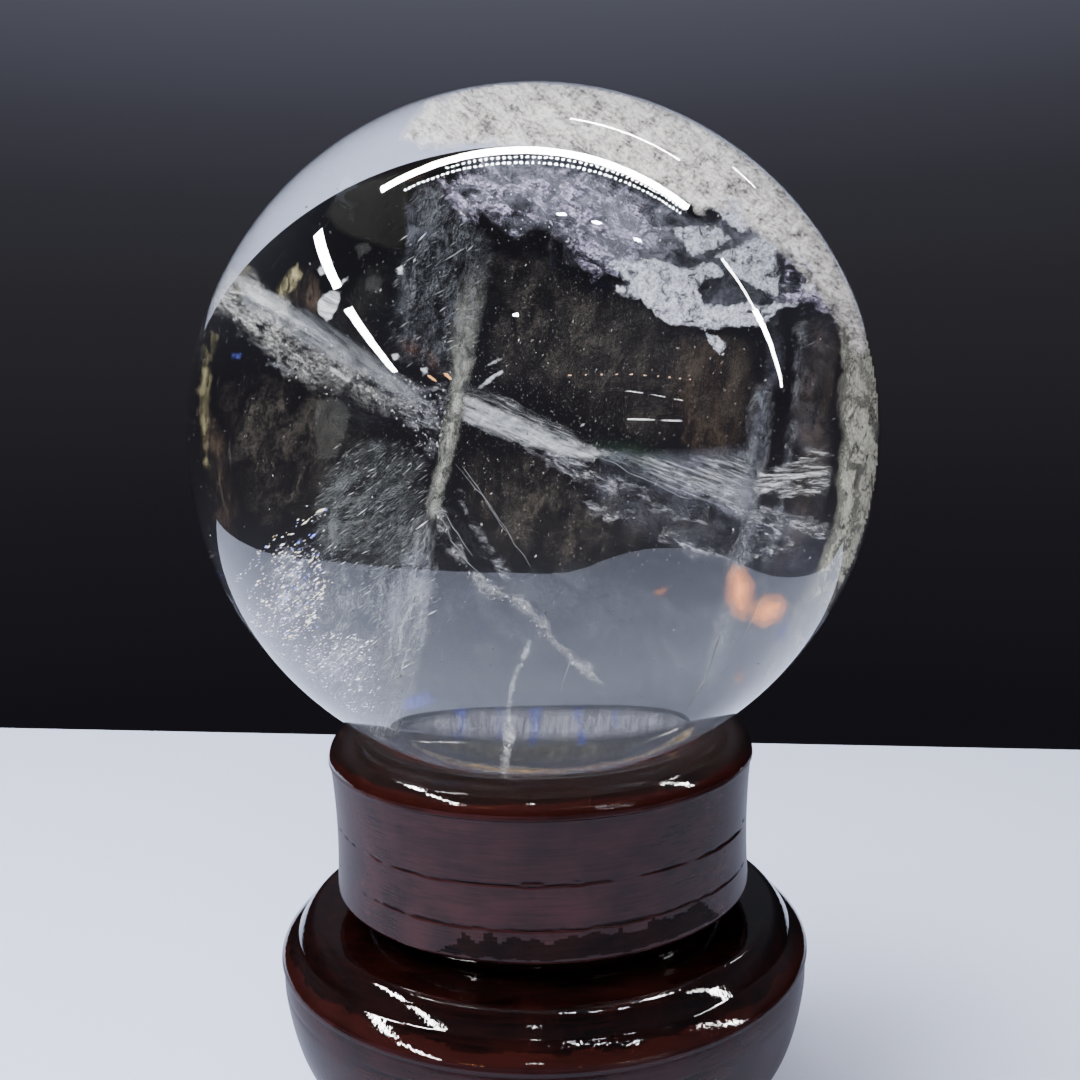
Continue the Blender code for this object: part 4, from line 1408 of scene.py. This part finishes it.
    def add_right(self, dark_pits):
        """The long strip at the right with its edges, and the thin cloud and dust beside it."""
        strip = [
            (31.4, 7.0), (34.8, 7.0), (34.7, 2.7), (34.0, -3.0), (33.4, -8.7), (32.5, -14.5),
            (31.4, -20.9), (29.9, -26.3), (28.5, -31.7), (27.1, -37.2), (23.6, -36.3), (25.1, -30.3),
            (26.5, -24.5), (27.6, -18.8), (28.6, -13.0), (29.5, -7.3), (30.2, -1.6), (30.8, 3.5)]
        edge = [
            (37.5, 15.9), (39.7, 15.7), (39.4, 9.9), (38.7, 4.2), (38.0, -1.6), (37.0, -8.7),
            (36.0, -14.5), (35.1, -18.8), (33.4, -22.5), (31.9, -22.2), (33.1, -17.4), (34.2, -11.6),
            (35.2, -5.9), (36.1, -0.1), (36.8, 7.0)]
        make_sheet("layer_strip", [strip, edge], slope(0.42), "speckled_growth_layer", seed=44, step=0.22,
                   ragged=0.5, lump=1.5, fade=1.3)
        bluish = [
            (32.8, 15.9), (35.7, 15.9), (36.8, 12.1), (36.2, 5.6), (34.2, 4.8), (32.5, 5.9), (33.4, 11.4)]
        beyond = [
            (38.3, 16.4), (43.7, 16.8), (44.3, 11.4), (43.4, -1.6), (42.9, -7.3), (41.1, -15.9),
            (36.8, -18.8), (34.0, -21.7), (35.4, -13.0), (36.8, -3.0), (37.7, 7.0)]
        make_sheet("layer_strip_haze", [strip, edge, bluish, beyond], slope(0.43), "thin_haze", seed=60,
                   relief=0.05, smooth=True, film=slope(1.4, -0.3))
        cloudy = [
            (9.3, -4.7), (15.3, -4.7), (23.9, -4.7), (32.5, -5.9), (41.1, -10.2), (44.7, -15.9),
            (41.8, -22.4), (35.4, -23.1), (28.2, -21.4), (21.0, -19.9), (15.3, -15.9), (9.5, -13.0),
            (5.2, -9.5)]
        make_sheet("layer_cloud", [cloudy], slope(0.5), "thin_haze", seed=68, step=0.4, ragged=1.2,
                   lump=4.0, fade=4.0, relief=0.05, smooth=True, film=0.35)
        low_dust = [
            (-16.3, -24.5), (-9.1, -20.2), (0.9, -18.8), (9.5, -20.2), (18.2, -21.7), (26.8, -24.5),
            (32.5, -30.3), (29.6, -37.5), (21.0, -41.0), (9.5, -42.0), (-1.9, -42.0), (-12.0, -41.0),
            (-19.2, -38.9), (-19.2, -30.3)]
        make_sheet("layer_low_dust", [low_dust], slope(0.45), "fine_dust_in_clear_part", seed=69,
                   step=0.4, ragged=1.2, lump=4.0, fade=3.0)
        lines = [
            [(26.8, -29.7), (25.6, -33.1), (24.6, -36.0), (23.3, -38.0), (21.9, -40.0)],
            [(33.7, -22.5), (32.2, -25.4), (30.8, -28.3), (29.9, -30.3)],
            [(-19.0, -42.0), (-20.0, -44.3)]]
        make_threads("layer_edges", lines, slope(0.40), 0.16, dark_pits, 45, wander=0.25)
        return beyond

    def add_stains(self, beyond):
        """Films stained by a little iron, olive along the left rim and brown further in."""
        left_rim = [
            [(-48.0, 12.1), (-46.7, 12.8), (-46.0, 7.0), (-46.4, 1.3), (-46.2, -5.9), (-47.3, -5.9),
             (-48.0, -0.1), (-48.4, 5.6)],
            [(-42.4, 23.7), (-40.7, 23.4), (-41.1, 20.8), (-42.1, 18.5), (-43.4, 18.8), (-42.7, 21.4)],
            [(-46.2, 14.2), (-44.9, 13.8), (-45.3, 11.4), (-46.2, 9.3), (-47.0, 9.9)],
            [(-37.3, 20.3), (-35.0, 23.1), (-33.8, 24.1), (-33.1, 22.1), (-34.0, 20.0), (-35.8, 18.5),
             (-37.3, 18.7)]]
        make_sheet("layer_olive", left_rim, slope(0.3), "olive_stained_film", seed=49, step=0.2,
                   ragged=0.35, lump=1.5, fade=1.2)
        brown = [
            [(-47.9, 4.2), (-45.9, 3.5), (-44.4, -0.8), (-43.6, -5.9), (-42.1, -10.2), (-41.7, -13.0),
             (-42.0, -15.9), (-43.1, -17.5), (-44.7, -17.2), (-45.9, -14.5), (-46.7, -10.2), (-47.6, -3.0)],
            [(20.5, 15.9), (26.1, 14.5), (31.4, 13.1), (33.4, 7.0), (32.2, -2.3), (27.9, -5.6),
             (22.5, -4.7), (19.3, 4.2)],
            [(-35.0, 24.0), (-30.9, 24.0), (-29.9, 20.0), (-30.6, 15.9), (-33.5, 17.1), (-36.4, 18.8)]]
        make_sheet("layer_rust", [*brown, beyond], slope(0.45), "rust_stained_film", seed=61, ragged=0.8,
                   lump=2.2, fade=2.2)

    def add_dust(self):
        """The thinnest dust, which fills the clear parts."""
        clear_dust = [
            (-6.5, 26.4), (-1.2, 25.7), (3.8, 24.0), (9.5, 20.7), (15.3, 18.5), (22.5, 13.5), (30.4, 13.5),
            (32.8, 8.5), (31.1, -0.1), (23.9, -1.6), (15.3, -2.3), (8.1, -0.1), (0.9, 3.5), (-6.2, 6.3),
            (-7.4, 14.2)]
        lower_dust = [
            (-10.6, -3.0), (-1.9, -3.0), (9.5, -5.9), (22.5, -10.9), (30.4, -14.5), (29.6, -19.5),
            (21.0, -16.6), (12.4, -18.1), (3.8, -20.2), (-4.8, -19.5), (-10.6, -13.0)]
        left_dust = [
            (-45.7, 7.0), (-39.3, 9.2), (-33.5, 6.3), (-27.1, 4.2), (-24.9, -3.0), (-27.1, -5.9),
            (-29.2, -10.2), (-33.5, -14.5), (-39.3, -14.5), (-42.1, -10.2), (-44.7, -1.6)]
        make_sheet("layer_dust", [clear_dust, lower_dust, left_dust], slope(0.62, 0.02, 0.02),
                   "dusty_growth_zone", seed=47, step=0.5, ragged=1.2, lump=4.0, fade=4.0, relief=0.2,
                   film=slope(1.0, 0.10))

    def add_foot(self):
        """Painted light low in the sphere: orange caustics and blue and green gleams painted as coloured
        films, and the seat seen through its foot, painted as grey-green films with lilac and beige over
        them
        """
        gleams = [
            [(28.4, -19.1), (30.4, -19.5), (32.1, -22.2), (31.8, -25.5), (30.4, -28.1), (28.4, -26.8),
             (27.2, -24.5), (27.3, -21.2)],
            [(30.6, -25.5), (32.9, -23.5), (35.8, -23.4), (37.1, -25.1), (35.8, -27.8), (32.9, -29.0),
             (30.8, -27.8)],
            [(16.6, -23.5), (18.7, -22.4), (20.0, -22.8), (18.3, -24.2)],
            [(28.5, -35.9), (29.9, -34.3), (30.6, -35.4), (29.4, -37.0)]]
        # Painted caustics: bright orange patches where orange light falls through the sphere
        make_sheet("layer_painted_caustics", gleams, slope(0.10), "painted_orange_caustic_face", seed=50, step=0.12,
                   ragged=0.1, lump=1.5, fade=2.6, relief=0.0, smooth=True)
        streaks = [
            [(-11.3, -39.8), (-9.3, -40.0), (-9.5, -43.2), (-10.6, -45.8), (-12.0, -45.5), (-11.3, -42.9)],
            [(-5.5, -39.8), (-3.8, -39.8), (-4.2, -45.3), (-5.5, -45.3)],
            [(-0.5, -39.8), (1.7, -39.5), (0.6, -45.3), (-0.8, -45.8)],
            [(5.5, -39.8), (7.1, -39.8), (7.8, -45.3), (6.4, -45.8)],
            [(11.1, -39.9), (12.3, -39.9), (12.1, -43.9), (11.3, -44.3)],
            [(-19.2, -38.2), (-14.9, -37.5), (-13.4, -38.9), (-16.3, -40.6), (-18.9, -40.6)],
            [(-43.6, 11.1), (-41.7, 11.2), (-42.1, 9.8), (-43.4, 9.9)],
            [(35.8, -27.1), (36.8, -26.8), (36.2, -29.7), (34.8, -32.0), (34.0, -32.9), (34.8, -30.0)],
            [(31.1, -19.9), (32.2, -21.4), (32.1, -24.5), (31.4, -23.1)]]
        # Painted gleams: blue streaks where small faces would mirror the light
        make_sheet("layer_painted_blue_gleams", streaks, slope(0.2), "blue_gleam", seed=62, step=0.15, lump=1.5,
                   fade=0.9, relief=0.02, smooth=True)
        lower_half = [
            (-19.5, -43.2), (-14.9, -43.6), (-7.7, -44.1), (0.9, -44.3), (9.5, -44.2), (16.7, -43.6),
            (22.2, -42.0), (20.5, -43.8), (17.4, -45.3), (13.1, -46.9), (7.4, -47.9), (0.9, -48.4),
            (-5.5, -47.9), (-11.3, -47.1), (-15.6, -45.6), (-18.2, -44.3)]
        # Painted shade and painted reflection: the seat seen through the sphere's foot, as grey-green,
        # lilac and beige films
        make_sheet("foot_painted_shade", [lower_half], slope(0.5), "painted_seat_shade_film", seed=63, ragged=0.25,
                   fade=2.4, relief=0.05, smooth=True)
        pale = [
            (-19.5, -43.1), (-16.3, -41.2), (-12.0, -40.3), (-7.7, -39.9), (0.9, -39.6), (9.5, -39.8),
            (15.3, -40.0), (19.6, -40.6), (22.5, -41.6), (21.6, -42.9), (15.3, -44.3), (6.7, -44.9),
            (-4.8, -44.9), (-13.4, -44.3)]
        make_sheet("foot_painted_light", [pale], slope(0.5), "painted_seat_light_film", seed=64, ragged=0.2, relief=0.03,
                   smooth=True)
        under = [
            (-18.0, -44.3), (-15.6, -45.8), (-11.3, -47.2), (-5.5, -48.1), (0.9, -48.5), (7.4, -48.1),
            (13.1, -47.1), (17.6, -45.5), (21.6, -42.9), (23.9, -42.0), (22.5, -44.6), (18.2, -46.9),
            (12.4, -48.7), (5.2, -49.9), (-0.5, -50.1), (-7.7, -49.5), (-13.4, -48.1), (-17.4, -45.8)]
        make_sheet("foot_painted_reflection", [under], slope(0.5), "painted_lip_reflection_film", seed=65, ragged=0.15, fade=0.9,
                   relief=0.03, smooth=True)
        glow = [
            (8.4, -1.0), (13.1, -0.7), (19.3, -2.4), (20.5, -5.3), (15.3, -6.4), (10.1, -5.3), (7.8, -3.0)]
        # Painted gleam: a faint green film
        make_sheet("layer_painted_green_gleam", [glow], slope(0.3), "green_gleam", seed=66, step=0.25, ragged=0.4,
                   fade=2.0, relief=0.02, smooth=True)


class CRYSTAL_OT_specks(bpy.types.Operator):
    """Adds the fine specks and sparkling flecks that float in the clear parts"""

    bl_idname = "crystal.specks"
    bl_label = "Specks and flecks"

    def execute(self, context):
        settings = context.scene.crystal
        chance = np.random.default_rng(11)
        # Denser towards the middle, and none close to the rim
        across = chance.normal(2, 20, settings.speck_count)
        up = chance.normal(3, 15, settings.speck_count)
        spots = np.column_stack((across, up))
        spots = spots[np.hypot(across, up) < 45]
        dust = bright_grains("fluid_drops", ((0.0, "2A2826"), (0.88, "5C5A56"), (1.0, "C0C4C8")))
        size = settings.speck_size / MM
        make_grains("specks", spots, chance.uniform(0.08, 0.9, len(spots)), 1.6 * size, size, dust, 12,
                    along=(0.25, 0.0, 1.0), loose=0.5, corners=3)
        # Chains of drops whose rainbow sparkle is painted into their colours: painted glints
        chains = [
            [(-28.9, -10.9), (-30.9, -12.5), (-32.9, -13.3), (-34.7, -14.6), (-36.7, -15.6),
             (-38.7, -16.8), (-39.8, -17.8)],
            [(-30.6, -14.8), (-33.2, -16.2), (-35.2, -17.6), (-36.4, -19.1)],
            [(-39.0, -18.2), (-40.4, -19.7), (-41.6, -20.9), (-42.4, -21.9)],
            [(-30.4, -17.1), (-32.4, -18.8), (-34.1, -19.9), (-36.1, -20.8)],
            [(-38.1, -21.1), (-39.5, -21.9), (-40.4, -23.4), (-41.3, -24.5)],
            [(-30.6, -19.9), (-32.7, -21.1), (-34.4, -22.2), (-35.8, -23.4), (-37.0, -24.2)],
            [(-35.8, -24.7), (-37.8, -24.8), (-39.5, -25.7), (-40.1, -26.8), (-38.7, -27.1)],
            [(-35.5, -24.5), (-35.0, -26.3), (-35.8, -27.7)],
            [(-30.4, -24.5), (-31.8, -26.3), (-32.4, -28.0)],
            [(-30.9, -28.3), (-33.5, -28.8), (-35.5, -29.4)],
            [(-39.8, -27.7), (-41.3, -28.8), (-40.4, -30.3), (-39.0, -31.4)],
            [(-29.2, -21.7), (-30.9, -23.4), (-32.1, -24.5)]]
        cloud = [
            (-37.0, -16.5), (-33.5, -15.9), (-30.4, -17.6), (-29.8, -23.1), (-30.9, -28.1), (-34.1, -30.3),
            (-37.8, -30.3), (-40.7, -27.4), (-39.8, -24.0), (-38.1, -20.2)]
        frosting = [
            (-41.7, -24.5), (-39.0, -27.1), (-35.0, -29.1), (-29.2, -29.1), (-23.2, -29.7), (-22.0, -37.5),
            (-23.8, -41.8), (-27.2, -39.8), (-30.9, -37.5), (-34.7, -34.3), (-38.4, -30.3), (-41.3, -26.8)]
        flecks = bright_grains("rainbow_flecks", ((0.0, "2A3CE0"), (0.14, "A0B0FF"), (0.3, "FFFFFF"),
                                                  (0.8, "FFF8DC"), (1.0, "B8A468")), 0.12)
        spots = []
        for chain in chains:
            chain = np.array(chain)
            along = np.linspace(0, len(chain) - 1, 5 * len(chain))
            line = [np.interp(along, range(len(chain)), chain[:, i]) for i in (0, 1)]
            spots.append(np.column_stack(line) + chance.normal(0, 0.35, (len(along), 2)))
        spots.append(scatter(cloud, 150, 51))
        make_grains("flecks", np.concatenate(spots), slope(0.25), 0.20, 0.06, flecks, 53,
                    along=(1.0, 0.0, 0.55), loose=0.12)
        fine = bright_grains("fine_flecks", ((0.0, "8C92B4"), (0.4, "D0D4E0"), (1.0, "FFFFFF")))
        spots = np.concatenate([scatter(cloud, 260, 75), scatter(frosting, 420, 52)])
        make_grains("fine_flecks", spots, slope(0.25), 0.16, 0.05, fine, 76, along=(1.0, 0.0, 0.6),
                    loose=0.15)
        make_sheet("frosting", [frosting, cloud], slope(0.27), "frosted_strokes", seed=77, step=0.22,
                   ragged=1.0, lump=2.5, fade=3.0, film=0.8)
        return {"FINISHED"}


class CRYSTAL_OT_ring(bpy.types.Operator):
    """Adds the upper tier of the stand, a ring with a rounded lip"""

    bl_idname = "crystal.ring"
    bl_label = "Stand ring"

    def execute(self, context):
        settings = context.scene.stand
        # Mirror bright on the lip, satin on the side, red where the stain is thin, and near-black dull
        # patches below that paint in a dark reflection
        gloss = lacquered_hardwood("gloss_lacquer_on_hardwood", settings.dark_wood, linear("100705"),
                                   1.0, 0.04)
        satin = lacquered_hardwood("satin_lacquer_on_turned_side", linear("150A0B"),
                                   linear("2C1618"), 0.3, 0.16)
        red = lacquered_hardwood("gloss_lacquer_on_red_band", linear("180604"), settings.red_wood,
                                 1.0, 0.05)
        # Painted dark reflection: near-black colours for the patches on the lower edge
        dull = lacquered_hardwood("painted_dark_reflection_on_lower_edge", linear("060303"), linear("180A09"),
                                  0.1, 0.1)

        def zone_of(radius, height, angle):
            outside = radius > RING_OUTSIDE_RADIUS
            zone = np.where(outside & (height < RING_TOP - RING_SATIN_DROP), 1, 0)
            wave = 0.3 * MM * lumps(around_axis(0 * angle, angle), 0.3, 83)
            border = RING_TOP - RING_RED_DROP + wave
            zone[(outside & (height < border) & (zone == 0)) | (radius < RED_SEAT_RADIUS)] = 2
            zone[outside & dark_patch(height, angle)] = 3
            return zone

        ring = make_turned("ring", ring_profile(), True, [gloss, satin, red, dull], zone_of, ring_wear,
                           "ring_lacquer")
        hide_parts("stand_ring")
        return {"FINISHED"}


class CRYSTAL_OT_base(bpy.types.Operator):
    """Adds the lower tier of the stand, the wider base"""

    bl_idname = "crystal.base"
    bl_label = "Stand base"

    def execute(self, context):
        settings = context.scene.stand
        gloss = lacquered_hardwood("mirror_lacquer_on_shoulder", linear("020101"), linear("120403"),
                                   1.0, 0.03)
        satin = lacquered_hardwood("satin_lacquer_on_base_side", linear("100707"), linear("241012"),
                                   0.3, 0.14)
        red = lacquered_hardwood("mirror_lacquer_on_red_band", linear("140504"), settings.red_wood,
                                 0.8, 0.03)

        def zone_of(radius, height, angle):
            below = BASE_TOP - height
            zone = np.where(below > BASE_SATIN_DROP, 1, 0)
            border = BASE_RED_DROP + 0.6 * MM * lumps(around_axis(0 * angle, angle), 0.1, 85)
            zone[(below > border) & (zone == 0)] = 2
            return zone

        base = make_turned("base", base_profile(), False, [gloss, satin, red], zone_of, base_wear,
                           "base_lacquer")
        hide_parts("stand_base")
        return {"FINISHED"}


class CRYSTAL_PT_panel(bpy.types.Panel):
    """Lists the steps that build the crystal, its stand and the studio"""

    bl_label = "Rock crystal sphere"
    bl_idname = "CRYSTAL_PT_panel"
    bl_space_type = "VIEW_3D"
    bl_region_type = "UI"
    bl_category = "Crystal"

    def draw(self, context):
        scene = context.scene
        for settings in (scene.crystal, scene.stand, scene.studio):
            box = self.layout.box()
            for name in settings.__annotations__:
                box.prop(settings, name)
        for step in STEPS:
            self.layout.operator(step.bl_idname)


STEPS = (CRYSTAL_OT_stage, CRYSTAL_OT_sphere, CRYSTAL_OT_veils, CRYSTAL_OT_cracks,
         CRYSTAL_OT_layers, CRYSTAL_OT_specks, CRYSTAL_OT_ring, CRYSTAL_OT_base)
CLASSES = (CrystalSettings, StandSettings, StudioSettings, *STEPS, CRYSTAL_PT_panel)


def register():
    for kind in CLASSES:
        bpy.utils.register_class(kind)
    bpy.types.Scene.crystal = PointerProperty(type=CrystalSettings)
    bpy.types.Scene.stand = PointerProperty(type=StandSettings)
    bpy.types.Scene.studio = PointerProperty(type=StudioSettings)


def unregister():
    del bpy.types.Scene.studio
    del bpy.types.Scene.stand
    del bpy.types.Scene.crystal
    for kind in reversed(CLASSES):
        bpy.utils.unregister_class(kind)


def main():
    register()
    bpy.ops.crystal.stage()
    bpy.ops.crystal.sphere()
    bpy.ops.crystal.veils()
    bpy.ops.crystal.cracks()
    bpy.ops.crystal.layers()
    bpy.ops.crystal.specks()
    bpy.ops.crystal.ring()
    bpy.ops.crystal.base()


if __name__ == "__main__":
    main()
